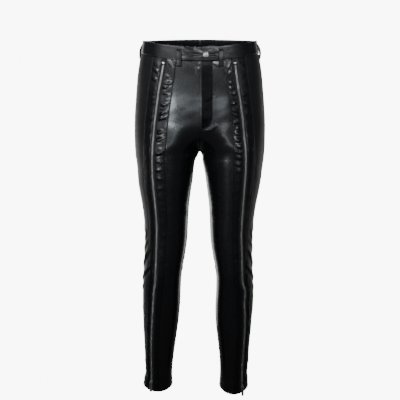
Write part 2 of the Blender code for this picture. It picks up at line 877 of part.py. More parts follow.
def fly(finishes, collection):
    """The fly's flap on the wearer's left front, with its curved lower end."""
    levels = list(np.linspace(-BAND_HEIGHT - 2 * SEAM_GAP, FLY_CURVE_Z, 6))
    drop = FLY_CURVE_Z - FLY_BOTTOM_Z
    for step in range(1, 7):
        levels.append(FLY_CURVE_Z - FLY_CURVE_SHARE * drop * math.sin(math.radians(15 * step)))
    rows = []
    for level in levels:
        down = max(0.0, (FLY_CURVE_Z - level) / drop)
        width = FLY_WIDTH * math.sqrt(1 - down * down)
        start = run_at_x(LEFT, level, FLY_X)
        runs = start + np.linspace(0, width, 5)
        rows.append(place(LEFT, level, runs, SEAM_GAP + CLOTH_WALL))
    cloth("fly_placket", rows, CLOTH_WALL, finishes["leather"], collection)


LoopPlace = namedtuple("LoopPlace", "name side x turn")
LOOPS = (
    LoopPlace("front_right", RIGHT, 55, None),
    LoopPlace("front_left", LEFT, 56, None),
    LoopPlace("side_right", RIGHT, None, 4),
    LoopPlace("side_left", LEFT, None, 4),
    LoopPlace("back", LEFT, None, None),
)


def belt_loop(where, finishes, collection):
    """A strip sewn at its two ends: to the band under its upper edge, and to the panel below."""
    rows = []
    steps = 9
    for k in range(steps + 1):
        share = k / steps
        level = -LOOP_TOP - (LOOP_DROP - LOOP_TOP) * share
        base = BAND_LIFT * float(ease((level + BAND_HEIGHT + LOOP_SETTLE) / LOOP_SETTLE))
        arch = LOOP_ARCH * math.sin(math.pi * share) ** 0.7
        lift = base + SEAM_GAP + LOOP_WALL + arch
        if where.name == "back":
            half = np.array([LOOP_WIDTH / 2, 0.0])
            end = ring(LEFT, level).run[-1]
            on_left = place(LEFT, level, end - half, lift, folded=False)
            on_right = place(RIGHT, level, np.array([end - half[0]]), lift, folded=False)
            rows.append(join_rows([on_left, on_right]))
            continue
        if where.x:
            middle = run_at_x(where.side, level, where.x)
        else:
            middle = run_at_turn(where.side, level, where.turn)
        spread = middle + np.array([-0.5, 0, 0.5]) * LOOP_WIDTH
        rows.append(place(where.side, level, spread, lift, folded=False))
    cloth(f"belt_loop_{where.name}", rows, LOOP_WALL, finishes["leather"], collection)


def button(finishes, collection):
    """A metal shank button: a turned cap with a raised rim, on the left band's end."""
    profile = (
        (0.0, 2.5),
        (3.6, 2.4),
        (5.0, 2.0),
        (5.9, 2.3),
        (6.8, 2.9),
        (7.6, 2.7),
        (BUTTON_RADIUS, 1.9),
        (7.6, 0.9),
        (6.4, 0.3),
        (0.0, 0.3),
    )
    made = bmesh.new()
    points = [made.verts.new((x * MM, 0, z * MM)) for x, z in profile]
    for first, second in zip(points, points[1:]):
        made.edges.new((first, second))
    mesh = bpy.data.meshes.new("button")
    made.to_mesh(mesh)
    made.free()
    holder = add_object("button", mesh, finishes["metal"], collection)
    screw = holder.modifiers.new("Turn", "SCREW")
    screw.steps = screw.render_steps = 20
    screw.use_merge_vertices = True
    screw.merge_threshold = 0.00001
    run = run_at_x(LEFT, BUTTON_LEVEL, BUTTON_X)
    seat = place(LEFT, BUTTON_LEVEL, np.array([run]), BAND_LIFT, folded=False)
    turned = Vector(seat.normals[0]).to_track_quat("Z", "Y").to_matrix().to_4x4()
    holder.matrix_world = Matrix.Translation(Vector(seat.points[0] * MM)) @ turned


def main():
    for old in list(bpy.data.objects):
        bpy.data.objects.remove(old)
    collection = bpy.data.collections.new("Trousers")
    cutters = bpy.data.collections.new("Cutters")
    bpy.context.scene.collection.children.link(collection)
    bpy.context.scene.collection.children.link(cutters)
    finishes = {
        "leather": material("Faux leather", (0.012, 0.012, 0.014), 0.36),
        "stretch": material("Coated stretch cloth", (0.013, 0.013, 0.014), 0.48),
        "tape": material("Zip tape", (0.01, 0.01, 0.01), 0.8),
        "metal": material("Nickel", (0.55, 0.55, 0.54), 0.32, 1.0),
    }
    for side in (LEFT, RIGHT):
        leg_panels(side, finishes, collection)
        front_zip(side, finishes, collection)
        slider(side, finishes, collection, cutters)
        pull_tab(side, finishes, collection)
    waistband(finishes, collection)
    fly(finishes, collection)
    for where in LOOPS:
        belt_loop(where, finishes, collection)
    button(finishes, collection)


main()
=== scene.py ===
"""The looks of the black faux leather trousers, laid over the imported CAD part.

Axes and origin are the frame's: +Z up, the front faces -Y, +X is the wearer's left, and the origin
is the middle of the waist opening. Lengths are millimetres; the meshes are written in metres.

Every panel is a fine grid on one hollow form. Folds, puckers, seam rolls and hems are heights added
along the form's normals, and stitches, teeth and trim are then set on the finished grids.
"""

import math
from collections import namedtuple
from functools import lru_cache

import bmesh
import bpy
import numpy as np
from mathutils import Matrix, Vector

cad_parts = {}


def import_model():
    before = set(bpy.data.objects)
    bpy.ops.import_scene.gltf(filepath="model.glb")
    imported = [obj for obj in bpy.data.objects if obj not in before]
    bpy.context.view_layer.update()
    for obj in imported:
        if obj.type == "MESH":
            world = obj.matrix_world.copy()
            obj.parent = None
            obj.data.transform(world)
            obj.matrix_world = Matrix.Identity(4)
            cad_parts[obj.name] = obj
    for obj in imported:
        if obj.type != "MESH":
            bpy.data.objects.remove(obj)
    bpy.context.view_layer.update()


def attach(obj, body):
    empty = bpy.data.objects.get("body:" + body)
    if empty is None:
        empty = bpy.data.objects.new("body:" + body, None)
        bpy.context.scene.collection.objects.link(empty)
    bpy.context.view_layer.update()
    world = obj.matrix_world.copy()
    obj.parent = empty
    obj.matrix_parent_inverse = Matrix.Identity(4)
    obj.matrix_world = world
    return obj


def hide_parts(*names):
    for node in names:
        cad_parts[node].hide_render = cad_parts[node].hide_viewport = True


MM = 0.001
LEFT, RIGHT = 1, -1  # the wearer's sides, and the sign of X there
SIDE_NAME = {LEFT: "left", RIGHT: "right"}


def rows(kind, *values):
    """A small table of one kind of row."""
    return tuple(kind(*value) for value in values)


# ---------------------------------------------------------------- sizes shared with the CAD part
CLOTH_WALL = 1.3
BAND_WALL = 2.2
LOOP_WALL = 1.4
SEAM_GAP = 0.3

BAND_HEIGHT = 35.0
BAND_LIFT = 0.9
FRONT_DIP = 21.0
BACK_RISE = 7.0
DIP_FADES_AT = -240.0
OVERLAP_END_X = 6.0
UNDERLAP_END_X = 43.0
UNDERLAP_RISE = 2.5
TUCK_FROM = 18.0
TUCK_LENGTH = 20.0

FLY_X = 5.0
FLY_WIDTH = 29.0
FLY_CURVE_Z = -200.0
FLY_BOTTOM_Z = -236.0

LOOP_WIDTH = 13.0
LOOP_TOP = 8.0
LOOP_DROP = 53.0
LOOP_ARCH = 3.2
LOOP_SETTLE = 9.0
LOOP_RIDGE = 0.25  # along its middle, where it is folded
LOOP_TACK = 0.35  # how far its bars of stitches draw it in
LOOP_TURNED = 0.9  # how far its cut ends are turned under

ZIP_TOP_Z = -43.0
TAPE_HALF = 7.0
TAPE_SINK = 0.5
CHAIN_WALL = 1.6
CHAIN_TOP_Z = -52.0
STOP_SIZE = (8.0, 4.0, 2.2)
SLIDER_UP = {RIGHT: 29.0, LEFT: 25.0}
SLIDER_SIZE = (9.6, 12.0, 1.7)
SLIDER_PLATE = 0.95
SLIDER_LIP_X = 3.75
BRIDGE_CORNER = 1.1
BRIDGE_WIRE = 0.8
BRIDGE_REACH = 3.4
BRIDGE_HEIGHT = 3.5
PULL_AXIS_HEIGHT = 1.35
PULL_WIDTH = 8.0
PULL_LENGTH = 27.0
PULL_BAR = 1.4
PULL_SLOT_END = 15.0
PULL_SLOT_HALF = 2.4

BUTTON_X = 15.5
BUTTON_LEVEL = -20.0
BUTTON_RADIUS = 8.0
BUTTON_SEAT = 0.35

THIGH_BLEND = 7.0
HIP_CORNERS = 2.15
HIP_FROM_Z = -302.0
HIP_FULL_Z = -215.0
SIDE_SEAM_TURN = 6.0
FARTHEST = 420.0  # no point of the form is this far from a leg's middle
FARTHEST_FROM_AXIS = 300.0
WAIST_FRONT, WAIST_BACK = 102.0, 107.0  # the waist's depth, at which its dip and its rise are full

Hip = namedtuple("Hip", "z half_width front back")
HIPS = rows(
    Hip,
    (8, 154, -98, 102), (-3, 155, -99, 103), (-31, 159.5, -102, 107), (-53, 164, -105, 112),
    (-90, 170, -108, 119.5), (-136, 174.5, -110, 128), (-174, 177.5, -109, 133.5),
    (-210, 180, -107, 136.5), (-246, 181, -104, 137), (-280, 180.5, -101, 134), (-307, 179.5, -98, 128),
)

Girth = namedtuple("Girth", "z inner outer")
THIGH = rows(
    Girth,
    (-200, -90, 180), (-230, -60, 180.5), (-250, -38, 180.8), (-270, -17, 180.6), (-290, -1, 180.2),
    (-307, 8.6, 179), (-319, 11.5, 178),
)
LEG = {
    RIGHT: THIGH + rows(
        Girth,
        (-330, 15.5, 176), (-352, 18.5, 173.5), (-386, 22, 171), (-419, 27, 166), (-453, 31, 160),
        (-487, 33.5, 155.5), (-521, 35, 153), (-555, 37, 152.5), (-589, 42, 153.5), (-624, 48.5, 155.5),
        (-658, 53, 158), (-692, 55, 159.5), (-727, 56.5, 160), (-761, 59, 160), (-796, 63, 159),
        (-831, 68, 157.5), (-866, 73, 156), (-901, 77.5, 154.5), (-930, 80, 154), (-953, 80, 157.5),
        (-985, 78, 162),
    ),
    LEFT: THIGH + rows(
        Girth,
        (-330, 11.5, 176.5), (-352, 14.5, 173.5), (-386, 19, 169), (-419, 23, 163), (-453, 27, 156),
        (-487, 29, 151), (-521, 30, 147.5), (-555, 32, 146), (-589, 37, 145), (-624, 43.5, 146),
        (-658, 47.5, 148), (-692, 47.5, 150), (-727, 46, 150), (-761, 45.5, 148), (-796, 47, 145),
        (-831, 51, 142), (-866, 55, 139), (-901, 58, 137), (-930, 59, 135), (-953, 58, 135.5),
        (-990, 55, 138),
    ),
}

Depth = namedtuple("Depth", "z front back")
LEG_DEPTH = rows(
    Depth,
    (-200, -106, 136), (-250, -103, 135), (-285, -100, 130), (-310, -97, 122.5), (-345, -94, 110.5),
    (-386, -90, 97.5), (-440, -84, 83), (-500, -78, 70), (-560, -73, 59), (-610, -70, 51.5),
    (-650, -67, 49), (-690, -60, 53), (-740, -52, 61), (-790, -46, 63), (-840, -42, 58), (-890, -39, 50),
    (-930, -37, 46), (-990, -39, 49),
)

Zip = namedtuple("Zip", "z x")
ZIP_LINE = {
    RIGHT: rows(
        Zip,
        (-35, 94), (-57, 98.5), (-75, 101), (-97, 105), (-118, 108.5), (-151, 112.5), (-202, 119),
        (-225, 121.8), (-250, 124), (-285, 126.8), (-322, 128.3), (-360, 127.8), (-404, 125.2),
        (-475, 119), (-509, 117.5), (-536, 117.8), (-567, 119), (-618, 120.8), (-654, 122.3),
        (-670, 123.4), (-686, 126.2), (-715, 128.3), (-771, 132.5), (-810, 134.5), (-848, 135.2),
        (-990, 136),
    ),
    LEFT: rows(
        Zip,
        (-35, 91), (-57, 95), (-75, 97.5), (-97, 99.8), (-118, 103), (-151, 107.2), (-202, 114.3),
        (-250, 118.7), (-285, 122), (-322, 124), (-360, 123.2), (-404, 120.6), (-475, 115.8),
        (-509, 114.3), (-536, 113.4), (-567, 114.6), (-618, 116), (-654, 117.2), (-670, 118.7),
        (-686, 123.8), (-700, 125), (-727, 123.8), (-771, 125.2), (-810, 124.6), (-848, 122.4),
        (-890, 120), (-930, 118.5), (-990, 118),
    ),
}

Strip = namedtuple("Strip", "z inner outer")
STRIPS = {
    RIGHT: rows(
        Strip,
        (-35, 27, 26), (-97, 29.5, 26), (-268, 30.5, 26), (-380, 28, 25), (-500, 23, 20), (-620, 19, 15),
        (-990, 14, 11),
    ),
    LEFT: rows(
        Strip,
        (-35, 27, 26), (-57, 26.5, 26), (-127, 22.5, 26), (-200, 21.5, 26), (-250, 24.5, 26),
        (-300, 26.5, 26), (-380, 25.5, 25), (-500, 21, 20), (-620, 18, 15), (-990, 14, 11),
    ),
}

HEM_SIDE_Z = {RIGHT: -970.0, LEFT: -974.0}
HEM_DIP = {RIGHT: 12.5, LEFT: 16.5}
HEM_DIP_FROM = 70.0

# ---------------------------------------------------------------- folds and puckers
# turn is degrees round the leg: 0 outermost, -90 front, 90 back, 180 inner. slope is how far the
# fold drops, in degrees, as it runs from the front towards the back. bow bends it along its length.
Fold = namedtuple("Fold", "turn z length half_width height slope bow")
FOLDS = rows(
    Fold,
    # outside and front of the knee
    (-22, -538, 44, 6, 2.4, 62, 0.1), (-18, -566, 56, 5, 2.6, 48, -0.12),
    (-30, -588, 52, 5, 2.2, 42, 0.1), (-16, -610, 60, 5.5, 2.9, 46, 0.14),
    (-38, -632, 50, 5, 2.4, 50, -0.1), (-12, -652, 52, 5.5, 2.2, 40, 0.12),
    (-50, -606, 40, 4, 1.2, 30, 0.1), (-62, -640, 46, 4.5, 1.1, 24, -0.1),
    (-8, -684, 48, 5, 1.4, 34, 0.1), (-4, -520, 40, 5, 1.2, 52, 0.08),
    # hollow of the knee
    (72, -586, 78, 6, 2.2, 14, 0.08), (95, -606, 96, 5.5, 2.8, -6, -0.06),
    (88, -628, 104, 5.5, 3.2, 4, 0.07), (104, -651, 92, 5.5, 2.6, -8, -0.08),
    (70, -672, 70, 6, 2, 12, 0.06), (120, -692, 60, 6, 1.4, -12, 0.05),
    (112, -572, 56, 6, 1.5, -16, 0.06), (158, -612, 54, 6, 1.8, -24, 0.08),
    (164, -640, 50, 5.5, 1.7, -30, -0.08), (150, -666, 44, 5.5, 1.2, -22, 0.06),
    # ankle
    (20, -906, 66, 6.5, 1.3, 10, 0.06), (96, -925, 78, 6.5, 1.9, -6, -0.05),
    (-6, -936, 60, 7, -1.3, 8, 0.05), (60, -946, 50, 5.5, 1.1, 14, 0.06),
    (150, -918, 46, 5.5, 1, -14, 0.05), (-70, -930, 40, 6, 0.7, 12, 0.05),
    # under the seat
    (98, -330, 98, 8, 2.4, -14, -0.06), (112, -356, 92, 7.5, 2.3, -18, -0.06),
    (128, -384, 74, 8, 1.8, -24, -0.05), (76, -322, 60, 9, 1.2, -8, 0.04),
    (140, -420, 60, 9, 1.1, -30, 0.04),
    # from the crotch over the thigh
    (-128, -330, 66, 8, 0.7, -46, 0.06), (-112, -300, 72, 8, 0.5, -38, 0.05),
    (-136, -356, 60, 8, 0.6, -40, -0.05), (-120, -268, 46, 6, 0.3, -28, 0.05),
    # inside of the calf and thigh, faint
    (-150, -470, 70, 10, 0.8, -34, 0.04), (30, -760, 80, 11, 0.7, 20, 0.04),
    (-30, -800, 70, 11, 0.6, 26, 0.04),
)

# Puckers of the strips beside the zips: short puffs in otherwise smooth cloth, each with a sharp
# underside. level and reach are a puff's place down the strip and across it (reach is 0 on the side
# towards the fly and 1 on the other), tilt is its drop in mm across the strip, and bow lifts its ends.
Pucker = namedtuple("Pucker", "level height reach tilt bow")
PUCKERS = {
    (RIGHT, "inner"): rows(
        Pucker,
        (-52, 1.3, 0.48, -32, 0), (-84, 1.1, 0.62, -9, 0), (-104, 1.8, 0.62, 6, -3),
        (-103, 1.5, 0.22, 22, 0), (-117, 2.3, 0.7, 4, 3), (-134, 1.1, 0.6, 0, 2),
        (-148, 0.6, 0.35, 8, 1), (-160, 1, 0.5, 3, -1), (-171, 2.5, 0.56, 3, 3), (-184, 0.6, 0.4, -6, 1),
        (-197, 2.9, 0.62, 14, 0), (-212, 3.1, 0.7, 5, 2), (-231, 0.3, 0.35, -4, 1),
        (-250, 3.2, 0.66, 6, 2), (-270, 3.1, 0.68, 3, 2), (-287, 0.5, 0.45, -4, 1),
        (-306, 2.4, 0.68, 3, 2), (-329, 0.5, 0.5, -3, 1), (-352, 0.9, 0.6, 3, 2),
        (-376, 0.7, 0.5, -2, 1), (-403, 0.7, 0.6, 3, 1), (-432, 0.5, 0.45, -2, 1),
    ),
    (LEFT, "inner"): rows(
        Pucker,
        (-55, 0.4, 0.62, -34, 0), (-75, 1, 0.57, -14, 1), (-104, 1.1, 0.54, 8, -3),
        (-120, 1.6, 0.45, 8, 1), (-137, 2.4, 0.72, -6, 5), (-152, 0.7, 0.77, 4, 1),
        (-167, 2.3, 0.45, -4, 2), (-190, 2.4, 0.5, 7, 2), (-203, 2.5, 0.57, 8, 2),
        (-221, 3.3, 0.62, -2, 1), (-239, 2.2, 0.62, 0, 1), (-253, 3.1, 0.62, 0, 2),
        (-271, 3.1, 0.6, -2, 3), (-288, 2.2, 0.67, 2, 2), (-303, 1.9, 0.7, -2, 2),
        (-318, 1.4, 0.66, 0, 2), (-337, 1, 0.57, 3, 1), (-355, 1.1, 0.64, 0, 2), (-381, 0.6, 0.57, 2, 1),
        (-408, 0.7, 0.67, -2, 1), (-436, 0.5, 0.62, 2, 1),
    ),
    (RIGHT, "outer"): rows(
        Pucker,
        (-58, 0.7, 0.22, 0, 1), (-75, 1.7, 0.27, -3, 2), (-98, 1.7, 0.24, 3, 2),
        (-120, 0.6, 0.35, -3, 1), (-138, 1.7, 0.2, 2, 1), (-152, 1.9, 0.19, -2, 1),
        (-167, 1.7, 0.2, 2, 1), (-190, 0.5, 0.4, -4, 1), (-212, 0.8, 0.25, 3, 1),
        (-238, 0.5, 0.35, -3, 1), (-262, 0.9, 0.25, 3, 1), (-292, 0.5, 0.4, -3, 1),
        (-320, 0.6, 0.3, 2, 1), (-352, 0.5, 0.45, -2, 1), (-390, 0.4, 0.5, 2, 1),
        (-428, 0.4, 0.5, -2, 1),
    ),
    (LEFT, "outer"): rows(
        Pucker,
        (-60, 1, 0.4, 3, 1), (-88, 1.1, 0.35, -3, 1), (-114, 0.9, 0.45, 3, 1), (-142, 1.1, 0.3, -2, 1),
        (-170, 0.9, 0.4, 3, 1), (-198, 1.1, 0.35, -3, 1), (-228, 0.9, 0.4, 2, 1), (-260, 1, 0.35, -2, 1),
        (-296, 0.8, 0.45, 2, 1), (-336, 0.6, 0.4, -2, 1), (-380, 0.4, 0.5, 2, 1),
        (-424, 0.4, 0.5, -2, 1),
    ),
}
PUFF_REACH = 0.38  # a puff's half width, as a share of the strip
PUFF_ABOVE = 7.5
PUFF_BELOW = 2.9
TUCK_BELOW = 6.2
TUCK_HALF = 2.2
TUCK_SHARE = 0.12
STRIP_LEAN = 0.9  # a strip falls this far from its fly side to the other
STRIP_WAVE = 0.10
STRIP_WAVE_FINER = 2.6
FAINT_PUCKER = 0.35  # the small ones further down, to the hem
FAINT_STEP = 31.0
GATHER_STEP = 7.6  # the little tucks along the strips' seams
GATHER_HEIGHT = 0.08
GATHER_REACH = 4.5
GATHER_PLACE = 2.2
GATHER_FROM = 1.2
GATHER_FADE = 150
GATHER_DRIFT = (2.6, 19)  # their spacing drifts: how far in mm, and over what length

# Creases of the waistband, by x from the centre front and level below the waist edge
Crease = namedtuple("Crease", "x level length half_width height slope")
BAND_CREASES = rows(
    Crease,
    (-20, -11, 66, 3.8, 1.5, 13), (-20, -28, 66, 4, 1.4, -7), (-30, -19, 34, 2.8, 0.5, 6),
    (-10, -19, 44, 2.8, -0.9, 4), (-46, -15, 26, 3, 0.8, 20), (34, -14, 32, 2.4, 1.5, -12),
    (36, -26, 36, 2.4, 1.6, 9), (34, -20, 28, 1.7, -1.2, -2), (47, -30, 14, 2.2, 1.2, 40),
    (42, -9, 14, 2.2, 0.9, 50), (92, -20, 34, 5, 0.15, 6), (-100, -18, 38, 5, 0.15, -6),
)
# Creases of the two centre panels, by x and z of the panel before it is cut to the waist
FRONT_CREASES = {
    RIGHT: rows(
        Crease,
        (11, -42, 18, 2.8, 1.1, -24), (5, -47, 16, 2.6, 1.1, 50), (9, -53, 18, 2.6, 1.1, -42),
        (5, -60, 16, 2.6, 1, 58), (20, -49, 22, 3.6, 0.5, -38), (8, -68, 18, 3, 0.6, -60),
        (28, -44, 24, 3.6, 0.3, -18), (7, -246, 14, 2, 0.9, 24), (12, -262, 30, 4, 0.7, 34),
        (24, -276, 46, 6, 0.9, 38), (62, -186, 60, 9, 0.12, 34), (52, -172, 44, 5, 0.12, -20),
        (58, -82, 40, 6, 0.15, 24),
    ),
    LEFT: rows(
        Crease,
        (20, -243, 34, 3.4, 1.9, -14), (34, -236, 30, 3.2, 1.6, -38), (16, -253, 34, 3.4, 0.7, -16),
        (46, -46, 26, 3, 0.8, 22), (12, -268, 34, 4.6, 0.8, 32), (30, -284, 44, 6, 0.9, 40),
        (60, -180, 54, 8, 0.12, -34), (50, -150, 44, 6, 0.12, -24), (9, -64, 22, 1.4, 0.9, 84),
        (25, -146, 34, 3.4, 1.6, -40), (21, -172, 26, 3, 1.4, -44),
    ),
}

# ---------------------------------------------------------------- finer sizes of the looks
FORM_EASE = 1.6  # the drawn cloth stands this far off the CAD form, to look as wide as the photo's
# It lies snug on it round a zip's slider, whose pull turns on the CAD's axis: how far up from the hem,
# how far round from the zip, and over what lengths the ease comes back.
SNUG_TOP = 85.0
SNUG_FADE = 40.0
SNUG_REACH = 30.0
SNUG_EDGE = 22.0
SEAM_LAP = 0.12  # panels sewn together lap by this much, so that no light shows between them
EDGE_INSETS = (0.0, 0.25, 0.75, 1.5, 2.5, 4.0)  # columns that shape a seam's rounded edge
LEAST_RADIUS = 55.0  # folds are laid out as on a leg at least this thick
ROW_STEP = 3.0
STRIP_STEP = 1.5
STRIPS_FINE_TO = -450.0
ROLL_REACH = 2.4
STRIP_ROLL_REACH = 1.3
HEM_ROLL = 1.0
HEM_STITCH_UP = 6.0
HEM_TROUGH = 0.35
HEM_SWELL = 0.3
HEM_TURN = 17.0  # how far the hem's cloth is turned up inside
HEM_WALL = 2.2
PANEL_WALL = 1.1
WAVE_HEIGHT = 0.10  # the cloth's soft unevenness
WAVES = 9
WAVE_LENGTHS = (26, 80)
WAVE_TURN = 6.28
FLY_WAVE = 0.25
FOLD_TROUGH = 0.32  # the trough below a fold, as a share of its height
BAND_SWELL = 0.3

TAPE_WALL = 0.7
TAPE_DEEPER = 0.25  # the tape lies this much deeper than in the CAD part, under the teeth
FLY_WALL = 1.0

STITCH_LENGTH = 2.5
STITCH_PITCH = 3.3
THREAD_HALF = 0.30
STITCH_INSET = 2.1
FLY_STITCH_INSETS = (1.8, 7.5)
BAR_PITCH, BAR_STITCH = 1.0, 1.5  # the dense stitches across a loop's ends

TOOTH_PITCH = 2.9
TOOTH_REACH = (-3.1, 0.8)  # from its clamp on the tape to its head, past the chain's middle
TOOTH_WIDTH = 1.45
TOOTH_HEIGHT = 1.9

SHARP_FROM, ROUNDED_FROM = 38, 35  # degrees between two faces of a metal part

LOOP_PROUD = {RIGHT: 2.6, LEFT: 4.4}  # the side loops stand off further here than in the CAD part
FLY_PROUD = 2.4  # how far the fly's opening edge stands out
BAND_END = 0.985  # the band's ends are this much smaller than its section
FLY_END = 0.985  # the fly's curve is drawn down to this share of its drop
TAPE_LAP = 1.2  # how far the zip's tape runs under the strips
TAPE_CORD = (3.3, 0.7, 0.35)  # a cord beside the teeth: place from the middle, half width and height


# ---------------------------------------------------------------- the form
@lru_cache(maxsize=None)
def curve_of(table, column):
    """A table's heights in rising order, with a column's values and slopes there."""
    at = np.array([row.z for row in table], float)[::-1]
    value = np.array([getattr(row, column) for row in table], float)[::-1]
    return at, value, np.gradient(value, at)


def read(table, column, z):
    """A table's column at height z: a smooth curve through its rows, held level past its ends."""
    at, value, slope = curve_of(table, column)
    z = np.clip(z, at[0], at[-1])
    k = np.clip(np.searchsorted(at, z) - 1, 0, len(at) - 2)
    step = at[k + 1] - at[k]
    t = (z - at[k]) / step
    near, far = value[k], value[k + 1]
    return (
        near * (1 + 2 * t) * (1 - t) ** 2
        + far * t * t * (3 - 2 * t)
        + step * slope[k] * t * (1 - t) ** 2
        + step * slope[k + 1] * t * t * (t - 1)
    )


def ease(t):
    """0 to 1, level at both ends."""
    t = np.clip(t, 0.0, 1.0)
    return t * t * (3 - 2 * t)


def hump(distance, half_width):
    """1 in the middle of a soft ridge, and near 0 from twice its half width."""
    return np.exp(-((distance / half_width) ** 2))


def unit(vectors):
    """The vectors, made 1 long."""
    return vectors / np.linalg.norm(vectors, axis=-1, keepdims=True)


def steps(points, axis=0):
    """Distances between the neighbours in a line or a grid of points."""
    return np.linalg.norm(np.diff(points, axis=axis), axis=-1)


Sizes = namedtuple("Sizes", "middle centre half_width half_depth hip_width hip_centre hip_depth hips")


def sizes_at(side, z):
    """One leg's middle and half sizes, the hips' sizes, and the hips' share of the form, at height z."""
    inner, outer = read(LEG[side], "inner", z), read(LEG[side], "outer", z)
    front, back = read(LEG_DEPTH, "front", z), read(LEG_DEPTH, "back", z)
    hip_front, hip_back = read(HIPS, "front", z), read(HIPS, "back", z)
    return Sizes(
        middle=(inner + outer) / 2,
        centre=(front + back) / 2,
        half_width=(outer - inner) / 2,
        half_depth=(back - front) / 2,
        hip_width=read(HIPS, "half_width", z),
        hip_centre=(hip_front + hip_back) / 2,
        hip_depth=(hip_back - hip_front) / 2,
        hips=ease((z - HIP_FROM_Z) / (HIP_FULL_Z - HIP_FROM_Z)),
    )


def form(sizes, x, y):
    """1 on the form's surface and less inside: both thighs, which blend upwards into the hips.

    x is positive towards the side that the sizes are for.
    """
    deep = (y - sizes.centre) / sizes.half_depth
    own = np.hypot((x - sizes.middle) / sizes.half_width, deep)
    other = np.hypot((x + sizes.middle) / sizes.half_width, deep)
    own, other = np.maximum(own, 1e-4), np.maximum(other, 1e-4)
    thighs = (own**-THIGH_BLEND + other**-THIGH_BLEND) ** (-1 / THIGH_BLEND)
    hips = (
        np.abs(x / sizes.hip_width) ** HIP_CORNERS
        + np.abs((y - sizes.hip_centre) / sizes.hip_depth) ** HIP_CORNERS
    ) ** (1 / HIP_CORNERS)
    return (1 - sizes.hips) * thighs + sizes.hips * hips


def outward(side, x, y, z):
    """The form's unit normals, from its slope."""
    step = 0.5
    sizes = sizes_at(side, z)
    slope = np.stack(
        [
            form(sizes, x + step, y) - form(sizes, x - step, y),
            form(sizes, x, y + step) - form(sizes, x, y - step),
            form(sizes_at(side, z + step), x, y) - form(sizes_at(side, z - step), x, y),
        ],
        axis=-1,
    )
    return unit(slope)


Ring = namedtuple("Ring", "x y turn run")


def reach_of(sizes, start, heading, limit, steps):
    """How far the form's surface is from a point inside it, along a heading, by halving."""
    low, high = np.zeros_like(limit), limit
    for _ in range(steps):
        reach = (low + high) / 2
        inside = form(sizes, start[0] + reach * heading[0], start[1] + reach * heading[1]) < 1
        low, high = np.where(inside, reach, low), np.where(inside, high, reach)
    return low


@lru_cache(maxsize=None)
def ring(side, z):
    """One side's section at height z, from the centre front or inseam, round the outside, to the back.

    run is the length along it; turn is the angle about the leg's middle, in degrees.
    """
    turn = np.linspace(-180.0, 180.0, 541)
    across, along = np.cos(np.radians(turn)), np.sin(np.radians(turn))
    sizes = sizes_at(side, z)
    middle, centre = sizes.middle, sizes.centre
    plane = np.where(across < -0.05, middle / np.maximum(-across, 0.05), FARTHEST)
    reach = reach_of(sizes, (middle, centre), (across, along), plane, 30)
    own = reach < plane - 0.01
    x, y = middle + reach[own] * across[own], centre + reach[own] * along[own]
    turn = turn[own]
    if not own[0]:
        # the two sides meet here, so the section ends on the middle plane
        way, limit = np.array([-1.0, 1.0]), np.full(2, FARTHEST_FROM_AXIS)
        front, back = centre + way * reach_of(sizes, (0.0, centre), (0.0, way), limit, 36)
        x = np.concatenate([[0.0], x, [0.0]])
        y = np.concatenate([[front], y, [back]])
        turn = np.concatenate([[turn[0] - 0.25], turn, [turn[-1] + 0.25]])
    run = np.concatenate([[0.0], np.cumsum(np.hypot(np.diff(x), np.diff(y)))])
    return Ring(x, y, turn, run)


def run_at_x(side, z, x):
    """Length round the front of the ring at which it reaches x."""
    section = ring(side, float(tidy_level(z)))
    front = section.turn <= 0
    return float(np.interp(x, section.x[front], section.run[front]))


def run_at_turn(side, z, turn):
    section = ring(side, float(tidy_level(z)))
    return float(np.interp(turn, section.turn, section.run))


def zip_run(side, z):
    return run_at_x(side, z, float(read(ZIP_LINE[side], "x", z)))


@lru_cache(maxsize=None)
def seam_runs(side, z):
    """The lengths round the ring at which each seam lies, by name."""
    line = zip_run(side, z)
    return {
        "centre": 0.0,
        "strip_inner": line - TAPE_HALF - float(read(STRIPS[side], "inner", z)),
        "tape_inner": line - TAPE_HALF,
        "tape_outer": line + TAPE_HALF,
        "strip_outer": line + TAPE_HALF + float(read(STRIPS[side], "outer", z)),
        "side": run_at_turn(side, z, SIDE_SEAM_TURN),
        "back": float(ring(side, float(tidy_level(z))).run[-1]),
    }


def waist_shift(y, level):
    """How far the waist's cut moves a point down at the front and up at the back."""
    fade = 1 - ease((-BAND_HEIGHT - level) / (-BAND_HEIGHT - DIP_FADES_AT))
    front = np.clip(-y / WAIST_FRONT, 0, 1) ** 2
    back = np.clip(y / WAIST_BACK, 0, 1) ** 2
    return fade * (BACK_RISE * back - FRONT_DIP * front)


def hem_shift(side, turn, level):
    """The hem is lower at the front than at the sides."""
    fade = ease((HEM_SIDE_Z[side] + HEM_DIP_FROM - level) / HEM_DIP_FROM)
    return -HEM_DIP[side] * fade * np.clip(np.sin(np.radians(-turn)), 0, 1) ** 1.5


# ---------------------------------------------------------------- grids laid on the form
# A sheet is a grid of places on the form: every array has a row for each level, from the top down,
# and a column for each place across. run is the length round the form; inset and far are the
# distances from its first and last column.
Sheet = namedtuple("Sheet", "side level turn run inset far points normals radius")


def tidy_level(level):
    """Levels are rounded, so that panels and trim share the form's sections."""
    return np.round(np.asarray(level, float) * 4) / 4


